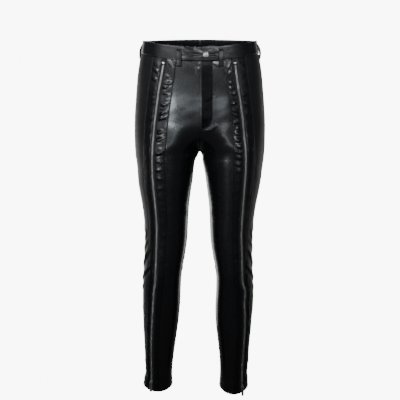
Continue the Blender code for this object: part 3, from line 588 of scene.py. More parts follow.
def on_form(side, level, run):
    """Points and normals of the form for arrays of levels and of places round it, and their turns."""
    x, y, turn = (np.empty(level.shape) for _ in range(3))
    from_zip = np.full(level.shape, SNUG_REACH)
    for row in range(len(level)):
        for near in np.unique(tidy_level(level[row])):
            at = tidy_level(level[row]) == near
            section = ring(side, float(near))
            if near < HEM_SIDE_Z[side] + SNUG_TOP:
                from_zip[row, at] = np.abs(run[row, at] - zip_run(side, float(near)))
            for made, values in ((x, section.x), (y, section.y), (turn, section.turn)):
                made[row, at] = np.interp(run[row, at], section.run, values)
    shift = waist_shift(y, level) + hem_shift(side, turn, level)
    normals = outward(side, x, y, level)
    low_down = ease((HEM_SIDE_Z[side] + SNUG_TOP - level) / SNUG_FADE)
    stand_off = FORM_EASE * (1 - low_down * ease((SNUG_REACH - from_zip) / SNUG_EDGE))
    points = np.stack([x, y, level + shift], axis=-1) + stand_off[..., None] * normals * (1, 1, 0)
    mirror = np.array([side, 1, 1])
    return points * mirror, normals * mirror, turn


def lay_sheet(side, levels, runs_at):
    """A sheet through the given levels; runs_at gives each level's places across it."""
    run = np.array([runs_at(level) for level in levels], float)
    level = np.broadcast_to(np.array(levels)[:, None], run.shape)
    points, normals, turn = on_form(side, level, run)
    radius = np.maximum(LEAST_RADIUS, sizes_at(side, level).half_width)
    return Sheet(side, level, turn, run, run - run[:, :1], run[:, -1:] - run, points, normals, radius)


def raised(sheet, lift):
    """The sheet with its points moved out along the form's normals."""
    return sheet._replace(points=sheet.points + sheet.normals * lift[..., None])


def panel_levels(side, fine_to=None):
    """Rows from under the waistband to the hem, closer together down to fine_to and at the hem's roll."""
    top, hem = -BAND_HEIGHT - SEAM_GAP, HEM_SIDE_Z[side]
    coarse_from = top if fine_to is None else fine_to
    fine = np.arange(top, coarse_from, -STRIP_STEP)
    coarse = np.arange(coarse_from, hem + EDGE_INSETS[-1] + ROW_STEP / 2, -ROW_STEP)
    at_hem = hem + np.array(EDGE_INSETS[::-1])
    return tidy_level([*fine, *coarse, *at_hem]).tolist()


def inset_columns(start, end, middle):
    """Places across a panel: its edge columns keep their distances, the middle ones share the rest."""
    edge = np.array(EDGE_INSETS)
    across = np.linspace(start + edge[-1], end - edge[-1], middle)
    return np.concatenate([start + edge[:-1], across, end - edge[-2::-1]])


def seam_roll(distance, depth, reach=ROLL_REACH):
    """A rounded edge: depth below the panel at the seam itself, level with it at reach."""
    short = 1 - np.clip(distance / reach, 0, 1)
    return -depth * (1 - np.sqrt(1 - short**2))


def hem_relief(sheet):
    """The hem's rounded lower edge, and the shallow trough that its stitching draws in."""
    up = sheet.level - HEM_SIDE_Z[sheet.side]
    trough = HEM_TROUGH * hump(up - HEM_STITCH_UP, 1.6)
    swell = HEM_SWELL * ease(1 - np.abs(up - HEM_STITCH_UP / 2) / 3.5)
    return seam_roll(up, HEM_ROLL, 1.6) - trough + swell


def along_and_across(right, down, slope):
    """Distances along and across a crease that drops by slope degrees towards the right."""
    angle = math.radians(slope)
    along = right * math.cos(angle) + down * math.sin(angle)
    return along, down * math.cos(angle) - right * math.sin(angle)


def fold_relief(sheet):
    """Sum of the large folds. Each is a soft ridge with a shallower trough on its lower side."""
    total = np.zeros_like(sheet.level)
    for fold in FOLDS:
        round_leg = np.radians(sheet.turn - fold.turn) * sheet.radius
        along, across = along_and_across(round_leg, fold.z - sheet.level, fold.slope)
        across = across + fold.bow * along**2 / fold.length
        window = np.clip(1 - (2 * along / fold.length) ** 2, 0, 1) ** 0.8
        trough = hump(across / fold.half_width - 1.9, 0.9)
        total += fold.height * window * (hump(across, fold.half_width) - FOLD_TROUGH * trough)
    return total


def crease_relief(creases, x, level):
    """Sum of short creases, placed by x and level on a front panel or on the waistband."""
    total = np.zeros(np.broadcast(x, level).shape)
    for crease in creases:
        along, across = along_and_across(x - crease.x, crease.level - level, crease.slope)
        window = np.clip(1 - (2 * along / crease.length) ** 2, 0, 1)
        total += crease.height * window * hump(across, crease.half_width)
    return total


def soft_waves(run, level, seed):
    """A slight unevenness, as thin coated cloth has: a few long waves that never repeat."""
    chance = np.random.default_rng(seed)
    total = np.zeros(np.broadcast(run, level).shape)
    for _ in range(WAVES):
        length = chance.uniform(*WAVE_LENGTHS)
        heading, phase = chance.uniform(-0.6, 2.2), chance.uniform(0, 7)
        along = run * math.cos(heading) + level * math.sin(heading)
        total += np.sin(along * WAVE_TURN / length + phase)
    return total / 3


def pucker_rows(side, strip, chance):
    """The puckers listed in the table, then fainter ones down to the hem."""
    placed = list(PUCKERS[side, strip])
    level = placed[-1].level - FAINT_STEP
    while level > HEM_SIDE_Z[side] + 10:
        height = FAINT_PUCKER * chance.uniform(0.5, 1.3)
        reach, tilt, bow = chance.uniform(0.35, 0.65), chance.uniform(-4, 4), chance.uniform(-2, 3)
        placed.append(Pucker(level, height, reach, tilt, bow))
        level -= FAINT_STEP * chance.uniform(0.7, 1.4)
    return placed


def pucker_relief(sheet, strip, seed):
    """The puffs down a strip, with a tuck under each, on softly waved cloth that gathers at its seams."""
    chance = np.random.default_rng(seed)
    share = sheet.inset / sheet.inset[:, -1:]
    edge = np.sin(np.pi * np.clip(share, 0, 1)) ** 0.4
    from_fly = share if strip == "inner" else 1 - share
    total = STRIP_LEAN * np.clip(1 - from_fly, 0, 1) ** 1.5
    waves = soft_waves(sheet.run * STRIP_WAVE_FINER, sheet.level * STRIP_WAVE_FINER, seed)
    total += STRIP_WAVE * edge * waves
    for row in pucker_rows(sheet.side, strip, chance):
        from_crest = (share - row.reach) / PUFF_REACH
        crest = row.level - row.tilt * (share - row.reach) + row.bow * from_crest**2
        sharp = chance.uniform(0.8, 1.2)
        half = np.where(sheet.level > crest, PUFF_ABOVE, PUFF_BELOW) * sharp
        puff = hump(sheet.level - crest, half) * hump(from_crest, 1.0)
        tuck = hump(sheet.level - crest + TUCK_BELOW * sharp, TUCK_HALF)
        total += row.height * edge * (puff - TUCK_SHARE * tuck * hump(from_crest, 1.3))
    drift, drift_length = GATHER_DRIFT
    warped = sheet.level + drift * np.sin(sheet.level / drift_length + seed)
    ripple = np.abs(np.sin(np.pi * warped / GATHER_STEP)) - 0.5
    fade = np.clip((sheet.level - STRIPS_FINE_TO) / GATHER_FADE, 0.15, 1)
    for distance in (sheet.inset, sheet.far):
        at_seam = hump(distance - GATHER_PLACE, GATHER_REACH) * np.clip(distance / GATHER_FROM, 0, 1)
        total += GATHER_HEIGHT * fade * ripple * at_seam
    return total


# ---------------------------------------------------------------- meshes
def quads(corner):
    """Faces between a grid's corner numbers, seen from outside when rows go down and columns go round."""
    around = [corner[:-1, :-1], corner[1:, :-1], corner[1:, 1:], corner[:-1, 1:]]
    return np.stack(around, axis=-1).reshape(-1, 4)


def add_mesh(name, points, faces, finishes, material_index=None, uv=None):
    """An object at the origin from points in millimetres."""
    mesh = bpy.data.meshes.new(name)
    mesh.from_pydata((np.asarray(points) * MM).tolist(), [], [list(map(int, face)) for face in faces])
    for finish in finishes:
        mesh.materials.append(finish)
    if material_index is not None:
        mesh.polygons.foreach_set("material_index", np.asarray(material_index, np.int32))
    if uv is not None:
        layer = mesh.uv_layers.new(name="Cloth")
        corner = np.zeros(len(mesh.loops), np.int32)
        mesh.loops.foreach_get("vertex_index", corner)
        layer.data.foreach_set("uv", (np.asarray(uv)[corner] * MM).astype(np.float32).ravel())
    mesh.update()
    mesh.shade_smooth()
    return add_object(name, mesh)


def add_object(name, data):
    made = bpy.data.objects.new(name, data)
    bpy.context.scene.collection.objects.link(made)
    return made


def shell(name, sheet, wall, finishes):
    """A closed cloth wall: the sheet is its outer face, and the inner one lies wall inside it."""
    outer = sheet.points.reshape(-1, 3)
    inner = (sheet.points - sheet.normals * wall[..., None]).reshape(-1, 3)
    count = len(outer)
    corner = np.arange(count).reshape(sheet.level.shape)
    front, back = quads(corner), quads(corner + count)[:, ::-1]
    rims = []
    for line, flip in ((corner[0], 1), (corner[-1], -1), (corner[:, 0], -1), (corner[:, -1], 1)):
        near, far = line[:-1], line[1:]
        rims.append(np.stack([near, far, far + count, near + count], axis=-1)[:, ::flip])
    rims = np.concatenate(rims)
    faces = np.concatenate([front, rims, back])[:, :: sheet.side]
    index = [0] * (len(front) + len(rims)) + [1] * len(back)
    flat = np.stack([sheet.run, sheet.level], axis=-1).reshape(-1, 2)
    points = np.concatenate([outer, inner])
    return add_mesh(name, points, faces, finishes, index, np.concatenate([flat, flat]))


def between(where, at, values):
    """Points or normals, given at rising places, read at other places."""
    return np.stack([np.interp(where, at, values[:, axis]) for axis in range(3)], axis=-1)


def line_of(sheet, inset, from_far=False):
    """The polyline down a sheet at one distance from its first or last column."""
    points, normals = [], []
    for row, distance in enumerate(sheet.far if from_far else sheet.inset):
        order = np.argsort(distance)
        points.append(between(inset, distance[order], sheet.points[row][order]))
        normals.append(between(inset, distance[order], sheet.normals[row][order]))
    return np.array(points), np.array(normals)


def spaced(points, normals, pitch, start=0.0):
    """Places along a polyline at even spacing: points, unit tangents and unit normals."""
    run = np.concatenate([[0.0], np.cumsum(steps(points))])
    at = np.arange(start + pitch / 2, run[-1] - pitch / 4, pitch)
    ahead = unit(between(at + pitch / 3, run, points) - between(at - pitch / 3, run, points))
    out = between(at, run, normals)
    out = unit(out - ahead * (out * ahead).sum(axis=1, keepdims=True))
    return between(at, run, points), ahead, out


def repeated(name, template, places, finish, scale=(1.0, 1.0, 1.0)):
    """One object of many small copies. The template's Y goes along, its Z out of the cloth."""
    shape, faces = template
    points, ahead, out = places
    axes = np.stack([np.cross(ahead, out), ahead, out], axis=1)
    copies = points[:, None, :] + np.einsum("vk,nkj->nvj", shape * np.array(scale), axes)
    starts = range(0, len(shape) * len(points), len(shape))
    corners = [[corner + start for corner in face] for start in starts for face in faces]
    return add_mesh(name, copies.reshape(-1, 3), corners, [finish])


def joined_places(groups):
    return tuple(np.concatenate(part) for part in zip(*groups))


def as_template(made):
    """A bmesh's points and faces, for making many copies."""
    shape = np.array([vert.co for vert in made.verts])
    faces = [[vert.index for vert in face.verts] for face in made.faces]
    made.free()
    return shape, faces


def stitch_template():
    """One stitch, 1 long: a short round thread whose ends dip into the cloth."""
    made = bmesh.new()
    lying = Matrix.Rotation(math.pi / 2, 4, "X")
    bmesh.ops.create_cone(made, cap_ends=True, segments=6, radius1=1.0, radius2=1.0, depth=1.0, matrix=lying)
    long_edges = [edge for edge in made.edges if abs(edge.verts[0].co.y - edge.verts[1].co.y) > 0.5]
    bmesh.ops.subdivide_edges(made, edges=long_edges, cuts=2)
    for vert in made.verts:
        if abs(vert.co.y) > 0.4:
            vert.co.x *= 0.5
            vert.co.z = vert.co.z * 0.5 - 0.7
    made.normal_update()
    return as_template(made)


def tooth_template():
    """One zip tooth in millimetres: a clamp on the tape that narrows to a rounded head."""
    made = bmesh.new()
    bmesh.ops.create_cube(made, size=1)
    for vert in made.verts:
        head = vert.co.x > 0
        vert.co.x = TOOTH_REACH[1] if head else TOOTH_REACH[0]
        vert.co.y *= TOOTH_WIDTH * (0.82 if head else 1.0)
        vert.co.z *= TOOTH_HEIGHT * (0.8 if head else 1.0)
    sizes = {"offset": 0.28, "offset_type": "OFFSET", "segments": 1, "profile": 0.5}
    bmesh.ops.bevel(made, geom=made.edges[:], affect="EDGES", material=-1, **sizes)
    return as_template(made)


# ---------------------------------------------------------------- node tools
class Nodes:
    """Short names for building a node tree."""

    def __init__(self, tree):
        self.tree = tree
        self.across = -900

    def add(self, kind, settings=None, **inputs):
        """A node to the right of the last one. Underscores in an input's name stand for spaces."""
        node = self.tree.nodes.new(kind)
        self.across += 160
        node.location = (self.across, -140 * (len(self.tree.nodes) % 4))
        for key, value in (settings or {}).items():
            setattr(node, key, value)
        for key, value in inputs.items():
            self.feed(node.inputs[key.replace("_", " ")], value)
        return node

    def feed(self, socket, value):
        """Links the socket to another one, or sets its value."""
        if isinstance(value, bpy.types.NodeSocket):
            self.tree.links.new(value, socket)
        else:
            socket.default_value = value

    def math(self, operation, *values, clamp=False):
        node = self.add("ShaderNodeMath", {"operation": operation, "use_clamp": clamp})
        for socket, value in zip(node.inputs, values):
            self.feed(socket, value)
        return node.outputs[0]

    def mix(self, kind, *values):
        """Mixes two colours ("RGBA") or two values ("FLOAT"): their share comes first."""
        node = self.add("ShaderNodeMix", {"data_type": kind})
        used = [socket for socket in node.inputs if socket.enabled]
        for socket, value in zip(used, values):
            self.feed(socket, value)
        return next(socket for socket in node.outputs if socket.enabled)


def new_group(name, inputs):
    """A shader node group with a Place and other inputs. Returns its inner nodes and its inputs."""
    group = bpy.data.node_groups.new(name, "ShaderNodeTree")
    group.interface.new_socket(name="Place", in_out="INPUT", socket_type="NodeSocketVector")
    for label, default in inputs.items():
        kind = "NodeSocketColor" if isinstance(default, tuple) else "NodeSocketFloat"
        socket = group.interface.new_socket(name=label, in_out="INPUT", socket_type=kind)
        socket.default_value = default
    for label, kind in (("Colour", "Color"), ("Roughness", "Float"), ("Height", "Float")):
        group.interface.new_socket(name=label, in_out="OUTPUT", socket_type="NodeSocket" + kind)
    return Nodes(group), group.nodes.new("NodeGroupInput").outputs


def closed_group(nodes, colour, roughness, height):
    """The finished group, with its three outputs linked."""
    nodes.add("NodeGroupOutput", Colour=colour, Roughness=roughness, Height=height)
    return nodes.tree


def grain_group():
    """Embossed grain of coated cloth: small uneven cells with soft furrows, and a faint mottle."""
    nodes, given = new_group(
        "Embossed grain",
        {
            "Colour": (0.008, 0.008, 0.0095, 1),
            "Furrow colour": (0.004, 0.004, 0.005, 1),
            "Cells per metre": 900.0,
            "Furrow depth": 1.0,
            "Roughness": 0.34,
            "Roughness spread": 0.08,
        },
    )
    place = given["Place"]
    sway = nodes.add("ShaderNodeTexNoise", Vector=place, Scale=420.0, Detail=2.0).outputs["Color"]
    bent = nodes.add("ShaderNodeVectorMath", {"operation": "SCALE"}, Vector=sway, Scale=0.0009)
    moved = nodes.add("ShaderNodeVectorMath", {"operation": "ADD"})
    nodes.feed(moved.inputs[0], place)
    nodes.feed(moved.inputs[1], bent.outputs[0])
    to_edge, count = {"feature": "DISTANCE_TO_EDGE"}, given["Cells per metre"]
    cells = nodes.add("ShaderNodeTexVoronoi", to_edge, Vector=moved.outputs[0], Scale=count)
    furrow = nodes.math("SUBTRACT", 1.0, nodes.math("MULTIPLY", cells.outputs["Distance"], 5.0, clamp=True))
    pores = nodes.add("ShaderNodeTexNoise", Vector=place, Scale=2600.0, Detail=3.0)
    mottle = nodes.add("ShaderNodeTexNoise", Vector=place, Scale=26.0, Detail=4.0, Roughness=0.6)
    deep = nodes.math("MULTIPLY", furrow, given["Furrow depth"])
    height = nodes.math("SUBTRACT", nodes.math("MULTIPLY", pores.outputs["Fac"], 0.25), deep)
    shade = nodes.math("MULTIPLY", furrow, 0.6, clamp=True)
    colour = nodes.mix("RGBA", shade, given["Colour"], given["Furrow colour"])
    uneven = nodes.math("SUBTRACT", mottle.outputs["Fac"], 0.5)
    spread = nodes.math("MULTIPLY", uneven, nodes.math("MULTIPLY", given["Roughness spread"], 2.0))
    rough = nodes.math("ADD", given["Roughness"], spread)
    return closed_group(nodes, colour, nodes.math("ADD", rough, nodes.math("MULTIPLY", furrow, 0.06)), height)


def weave_group():
    """A plain or slanted weave: threads across and along the cloth."""
    nodes, given = new_group(
        "Woven threads",
        {
            "Colour": (0.02, 0.02, 0.02, 1),
            "Gap colour": (0.004, 0.004, 0.004, 1),
            "Threads per metre": 1800.0,
            "Slant": 0.0,
            "Roughness": 0.8,
        },
    )
    x, y, _ = nodes.add("ShaderNodeSeparateXYZ", Vector=given["Place"]).outputs
    slanted = nodes.math("ADD", y, nodes.math("MULTIPLY", x, given["Slant"]))
    turns = nodes.math("MULTIPLY", given["Threads per metre"], math.pi)
    threads = []
    for way in (x, slanted):
        wave = nodes.math("ABSOLUTE", nodes.math("SINE", nodes.math("MULTIPLY", way, turns)))
        threads.append(nodes.math("POWER", wave, 0.6))
    height = nodes.math("MULTIPLY", *threads)
    fuzz = nodes.add("ShaderNodeTexNoise", Vector=given["Place"], Scale=900.0, Detail=3.0).outputs["Fac"]
    shade = nodes.math("ADD", nodes.math("MULTIPLY", height, 0.75), nodes.math("MULTIPLY", fuzz, 0.4))
    colour = nodes.mix("RGBA", shade, given["Gap colour"], given["Colour"])
    rough = nodes.math("ADD", given["Roughness"], nodes.math("MULTIPLY", fuzz, 0.1))
    return closed_group(nodes, colour, rough, height)


def metal_group():
    """Plated metal: fine drawn lines, with faint smudges that dull it."""
    nodes, given = new_group(
        "Plated metal",
        {
            "Colour": (0.6, 0.6, 0.59, 1),
            "Smudge colour": (0.3, 0.3, 0.29, 1),
            "Roughness": 0.25,
            "Smudges": 0.4,
        },
    )
    stretched = nodes.add("ShaderNodeMapping", Vector=given["Place"], Scale=(900.0, 900.0, 6500.0))
    drawn = nodes.add("ShaderNodeTexNoise", Vector=stretched.outputs[0], Scale=1.0, Detail=2.0)
    smudge = nodes.add("ShaderNodeTexNoise", Vector=given["Place"], Scale=260.0, Detail=4.0)
    share = nodes.math("MULTIPLY", nodes.math("SUBTRACT", smudge.outputs["Fac"], 0.42), 3.0, clamp=True)
    share = nodes.math("MULTIPLY", share, given["Smudges"])
    colour = nodes.mix("RGBA", share, given["Colour"], given["Smudge colour"])
    rough = nodes.math("ADD", given["Roughness"], nodes.math("MULTIPLY", share, 0.3))
    return closed_group(nodes, colour, rough, drawn.outputs["Fac"])


def named(names, values):
    """Socket values by name, for as many of the names as there are values."""
    return dict(zip(names, values))


def grain(*values):
    """The grain group, laid on the object's own places, and its values."""
    names = ("Cells per metre", "Furrow depth", "Roughness", "Roughness spread", "Colour", "Furrow colour")
    return grain_group, "Object", named(names, values)


def weave(place, *values):
    """The weave group, laid by the cloth's UV or on the object's own places, and its values."""
    return weave_group, place, named(("Threads per metre", "Slant", "Roughness", "Colour"), values)


def metal(*values):
    """The metal group, laid on the object's own places, and its values."""
    return metal_group, "Object", named(("Roughness", "Smudges", "Colour"), values)


def coated(*values):
    """How the surface shines, and the weight and roughness of any coat on it."""
    return named(("Specular IOR Level", "Coat Weight", "Coat Roughness"), values)


def sheen(*values):
    """The soft sheen of fibres."""
    return named(("Sheen Weight", "Sheen Roughness"), values)


LEATHER = grain(1000.0, 0.8, 0.225, 0.04)
SHALLOW, SMOOTH, FLAT = (0.3, 0.08), (0.15, 0.08), (0.2, 0.08)
PLATED = {"Metallic": 1.0}

# bump is its strength and depth in mm; shader holds the values that no pattern gives
Finish = namedtuple("Finish", "name pattern bump shader")
FINISHES = {
    "leather": Finish("Faux leather", LEATHER, SMOOTH, coated(0.55, 0.3, 0.16)),
    "strip": Finish("Faux leather, puckered", LEATHER, SMOOTH, coated(0.38, 0.18, 0.16)),
    "stretch": Finish(
        "Coated stretch cloth", grain(1600.0, 0.6, 0.47, 0.08), SHALLOW, {**coated(0.3), **sheen(0.05, 0.5)}
    ),
    "band": Finish("Faux leather, stitched", grain(1000.0, 0.8, 0.26, 0.05), SMOOTH, coated(0.4, 0.2, 0.16)),
    # the fly's flap: the panels' leather with a weaker shine and a much darker colour, the darker colour
    # being painted shade so that the flap reads as shaded
    "fly": Finish(
        "Faux leather, painted shade",
        grain(1000.0, 0.5, 0.3, 0.1, (0.0025, 0.003, 0.0035, 1), (0.002, 0.002, 0.002, 1)),
        FLAT,
        coated(0.12),
    ),
    # the belt loops: the panels' leather with a weaker shine and a slightly darker colour, the darker colour
    # being painted shade so that the loops read as shaded
    "loop": Finish(
        "Faux leather, painted shade on loops", grain(1000.0, 0.6, 0.3, 0.08, (0.006, 0.006, 0.007, 1)), FLAT, coated(0.35)
    ),
    "backing": Finish(
        "Knitted backing",
        weave("UV", 1100.0, 0.5, 0.85, (0.035, 0.035, 0.037, 1)),
        (0.4, 0.2),
        sheen(0.2, 0.6),
    ),
    "tape": Finish(
        "Zip tape", weave("UV", 1500.0, 0.8, 0.75, (0.02, 0.02, 0.021, 1)), (0.6, 0.25), sheen(0.15, 0.5)
    ),
    "zip metal": Finish("Nickel zip", metal(0.34, 0.1, (0.66, 0.66, 0.65, 1)), (0.08, 0.02), PLATED),
    "button metal": Finish("Nickel button", metal(0.26, 0.35, (0.42, 0.42, 0.42, 1)), (0.06, 0.02), PLATED),
    "thread": Finish(
        "Sewing thread",
        weave("Object", 2600.0, 1.0, 0.45, (0.018, 0.018, 0.019, 1)),
        (0.3, 0.05),
        sheen(0.3, 0.3),
    ),
}


def new_material(finish, group):
    """A Principled material whose colour, roughness and bump come from a group with its own values."""
    made = bpy.data.materials.new(finish.name)
    made.use_nodes = True
    nodes = Nodes(made.node_tree)
    _, place, values = finish.pattern
    spot = nodes.add("ShaderNodeTexCoord").outputs[place]
    pattern = nodes.add("ShaderNodeGroup", {"node_tree": group}, Place=spot, **values).outputs
    strength, depth = finish.bump
    bump = nodes.add("ShaderNodeBump", Strength=strength, Distance=depth * MM, Height=pattern["Height"])
    linked = {"Base Color": pattern["Colour"], "Roughness": pattern["Roughness"], "Normal": bump.outputs[0]}
    for key, value in {**linked, **finish.shader}.items():
        nodes.feed(made.node_tree.nodes["Principled BSDF"].inputs[key], value)
    return made


def make_finishes():
    """Every material of the trousers, by a plain name."""
    groups = {builder: builder() for builder in (grain_group, weave_group, metal_group)}
    return {key: new_material(finish, groups[finish.pattern[0]]) for key, finish in FINISHES.items()}


# ---------------------------------------------------------------- the cloth panels
Panel = namedtuple("Panel", "name first last columns finish slot strip")
PANELS = (
    Panel("front_centre", "centre", "strip_inner", 30, "leather", "faux_leather", None),
    Panel("strip_inner", "strip_inner", "tape_inner", 19, "strip", "faux_leather", "inner"),
    Panel("strip_outer", "tape_outer", "strip_outer", 18, "strip", "faux_leather", "outer"),
    Panel("front_side", "strip_outer", "side", 24, "stretch", "coated_stretch", None),
    Panel("back", "side", "back", 60, "stretch", "coated_stretch", None),
)
# how far each seam draws the cloth's edge in
SEAM_DEPTH = dict.fromkeys(("tape_inner", "tape_outer", "side", "back"), 0.8)
SEAM_DEPTH |= {"centre": 0.7, "strip_inner": 1.3, "strip_outer": 1.2}
GATHER = 1.06  # a puckered strip's cut is this much longer than the place it fills


def panel_sheet(side, panel):
    """The smooth sheet of one panel, and the same sheet with all its relief."""
    levels = panel_levels(side, STRIPS_FINE_TO if panel.strip else None)

    def runs_at(level):
        seams = seam_runs(side, level)
        start, end = seams[panel.first], seams[panel.last]
        start -= SEAM_LAP if panel.first != "centre" else 0
        end += SEAM_LAP if panel.last != "back" else 0
        return inset_columns(start, end, panel.columns)

    smooth = lay_sheet(side, levels, runs_at)
    seed = 10 * PANELS.index(panel) + 5 + side
    reach = STRIP_ROLL_REACH if panel.strip == "inner" else ROLL_REACH
    lift = seam_roll(smooth.inset, SEAM_DEPTH[panel.first], reach)
    lift = lift + seam_roll(smooth.far, SEAM_DEPTH[panel.last]) + hem_relief(smooth) + fold_relief(smooth)
    if panel.strip:
        lift = lift + pucker_relief(smooth, panel.strip, seed)
    else:
        lift = lift + WAVE_HEIGHT * soft_waves(smooth.run, smooth.level, seed)
    if panel.name == "front_centre":
        lift = lift + crease_relief(FRONT_CREASES[side], np.abs(smooth.points[..., 0]), smooth.level)
    return smooth, raised(smooth, lift)


def flat_cut(smooth, gather=1.0):
    """Width, length and area of the panel's flat cut in metres, measured on the smooth form."""
    across, down = steps(smooth.points, axis=1).sum(axis=1), steps(smooth.points)
    area = float((down.mean(axis=1) * (across[1:] + across[:-1]) / 2).sum()) * gather
    width, length = float(across.max()), float(down.sum(axis=0).max()) * gather
    return (width * MM, length * MM), min(area * MM * MM, width * length * MM * MM)


def hem_wall(sheet):
    """Wall thickness: the hem is turned up inside, so it is doubled there."""
    up = sheet.level - HEM_SIDE_Z[sheet.side]
    return PANEL_WALL + (HEM_WALL - PANEL_WALL) * ease((HEM_TURN - up) / 1.5)


def dress(piece, body, node, slot):
    """The piece moves with the body, and stands for the CAD node of the same part."""
    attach(piece, body)
    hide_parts(node)
    return piece


def leg_panels(side, finishes):
    """The five panels of one side. Returns their finished sheets by name, for the stitching."""
    sheets = {}
    for panel in PANELS:
        node = f"{panel.name}_{SIDE_NAME[side]}"
        smooth, sheet = panel_sheet(side, panel)
        piece = shell(f"cloth_{node}", sheet, hem_wall(sheet), [finishes[panel.finish], finishes["backing"]])
        dress(piece, "garment", node, panel.slot)
        size, area = flat_cut(smooth, GATHER if panel.strip else 1.0)
        sheets[panel.name] = sheet
    return sheets


# ---------------------------------------------------------------- the zips
def zip_middle(side, levels):
    """The zip's middle at each level, as a sheet one column wide."""
    return lay_sheet(side, levels, lambda level: [zip_run(side, level)])


def zip_places(side, lift, top, bottom, pitch, start=0.0):
    """Places along the zip's middle, from top down to bottom, at even spacing."""
    sheet = zip_middle(side, tidy_level(np.arange(top, bottom, -3.0)).tolist())
    sheet = raised(sheet, fold_relief(sheet) + lift)
    return spaced(sheet.points[:, 0], sheet.normals[:, 0], pitch, start)


def zip_frame(side, level, lift):
    """Axes on the zip: X across it, Y up along it and Z out of the cloth, in metres."""
    sheet = zip_middle(side, [level - 8.0, float(level), level + 8.0])
    below, here, above = sheet.points[:, 0]
    up = unit(above - below)
    out = sheet.normals[1, 0]
    out = unit(out - up * out.dot(up))
    turned = Matrix(np.stack([np.cross(up, out), up, out], axis=1).tolist()).to_4x4()
    return Matrix.Translation(Vector((here + out * lift) * MM)) @ turned


def zip_tape(side, finishes):
    """The woven tape, with a corded ridge along each side of the teeth."""
    node = f"zip_tape_{SIDE_NAME[side]}"

    def runs_at(level):
        seams = seam_runs(side, level)
        return np.linspace(seams["tape_inner"] - TAPE_LAP, seams["tape_outer"] + TAPE_LAP, 25)

    smooth = lay_sheet(side, panel_levels(side), runs_at)
    across = np.abs(smooth.inset - smooth.inset[:, -1:] / 2)
    place, half_width, height = TAPE_CORD
    cord = height * hump(across - place, half_width)
    sheet = raised(smooth, cord - TAPE_SINK - TAPE_DEEPER + fold_relief(smooth))
    wall = np.full_like(sheet.level, TAPE_WALL)
    piece = shell(f"cloth_{node}", sheet, wall, [finishes["tape"], finishes["tape"]])
    dress(piece, "garment", node, "zip_tape")
    return piece, smooth


def zip_teeth(side, finishes):
    """Two interlocked rows of teeth, from the top stop down to the hem."""
    lie = (side, TOOTH_HEIGHT / 2 - TAPE_SINK, CHAIN_TOP_Z, HEM_SIDE_Z[side] + 1.0, TOOTH_PITCH)
    points, ahead, out = zip_places(*lie, TOOTH_PITCH / 2)
    both = joined_places([zip_places(*lie), (points, -ahead, out)])
    piece = repeated(f"zip_teeth_{SIDE_NAME[side]}", tooth_template(), both, finishes["zip metal"])
    return dress(piece, "garment", f"zip_chain_{SIDE_NAME[side]}", "zip_metal")


def finished_mesh(name, made, finish, frame):
    """An object at the origin from a bmesh in metres, moved by frame, with its faces outward."""
    bmesh.ops.remove_doubles(made, verts=made.verts, dist=1e-6)
    bmesh.ops.recalc_face_normals(made, faces=made.faces)
    mesh = bpy.data.meshes.new(name)
    made.to_mesh(mesh)
    made.free()
    mesh.transform(frame)
    mesh.materials.append(finish)
    mesh.shade_smooth()
    mesh.set_sharp_from_angle(angle=math.radians(SHARP_FROM))
    return add_object(name, mesh)


def zip_part(kind, side, made, finishes, frame, width, segments, body="garment"):
    """A metal part of the zip, with sharp edges rounded over a width."""
    name = f"{kind}_{SIDE_NAME[side]}"
    piece = finished_mesh(f"metal_{name}", made, finishes["zip metal"], frame)
    bevel = piece.modifiers.new("Rounded edges", "BEVEL")
    bevel.width = width * MM
    bevel.segments = segments
    bevel.limit_method = "ANGLE"
    bevel.angle_limit = math.radians(ROUNDED_FROM)
    bevel.harden_normals = False
    return dress(piece, body, f"zip_{name}", "zip_metal")


def from_curve(routes, closed, **settings):
    """A bmesh of a curve with a thickness, in metres, through the points of its routes."""
    curve = bpy.data.curves.new("outline", "CURVE")
    for key, value in settings.items():
        setattr(curve, key, value)
    for route in routes:
        spline = curve.splines.new("POLY")
        spline.points.add(len(route) - 1)
        spline.use_cyclic_u = closed
        for point, (x, y, z) in zip(spline.points, route):
            point.co = (x * MM, y * MM, z * MM, 1)
    holder = add_object("outline", curve)
    graph = bpy.context.evaluated_depsgraph_get()
    mesh = bpy.data.meshes.new_from_object(holder.evaluated_get(graph))
    bpy.data.objects.remove(holder)
    made = bmesh.new()
    made.from_mesh(mesh)
    bmesh.ops.remove_doubles(made, verts=made.verts, dist=1e-6)
    return made


def slab(outlines, low, high):
    """A bmesh plate between two heights, from one outline and any holes in it."""
    routes = [[(x, y, 0) for x, y in outline] for outline in outlines]
    half = (high - low) / 2 * MM
    made = from_curve(routes, True, dimensions="2D", fill_mode="BOTH", extrude=half)
    bmesh.ops.translate(made, verts=made.verts, vec=Vector((0, 0, (high + low) / 2 * MM)))
    return made


def wire(route, half):
    """A bmesh of a round wire through the route's points."""
    return from_curve(
        [route], False, dimensions="3D", bevel_depth=half * MM, bevel_resolution=3, use_fill_caps=True
    )


def added(first, second):
    """Both bmeshes in the first one."""
    mesh = bpy.data.meshes.new("part")
    second.to_mesh(mesh)
    second.free()
    first.from_mesh(mesh)
    bpy.data.meshes.remove(mesh)
    return first


def rounded_outline(half_width, top, bottom, corner, steps=5):
    """A rectangle with round corners, as points going round once."""
    points = []
    for quarter, (right, up) in enumerate(((1, 1), (-1, 1), (-1, -1), (1, -1))):
        x = right * (half_width - corner)
        y = top - corner if up > 0 else bottom + corner
        for k in range(steps + 1):
            angle = math.radians(90 * quarter + 90 * k / steps)
            points.append((x + corner * math.cos(angle), y + corner * math.sin(angle)))
    return points


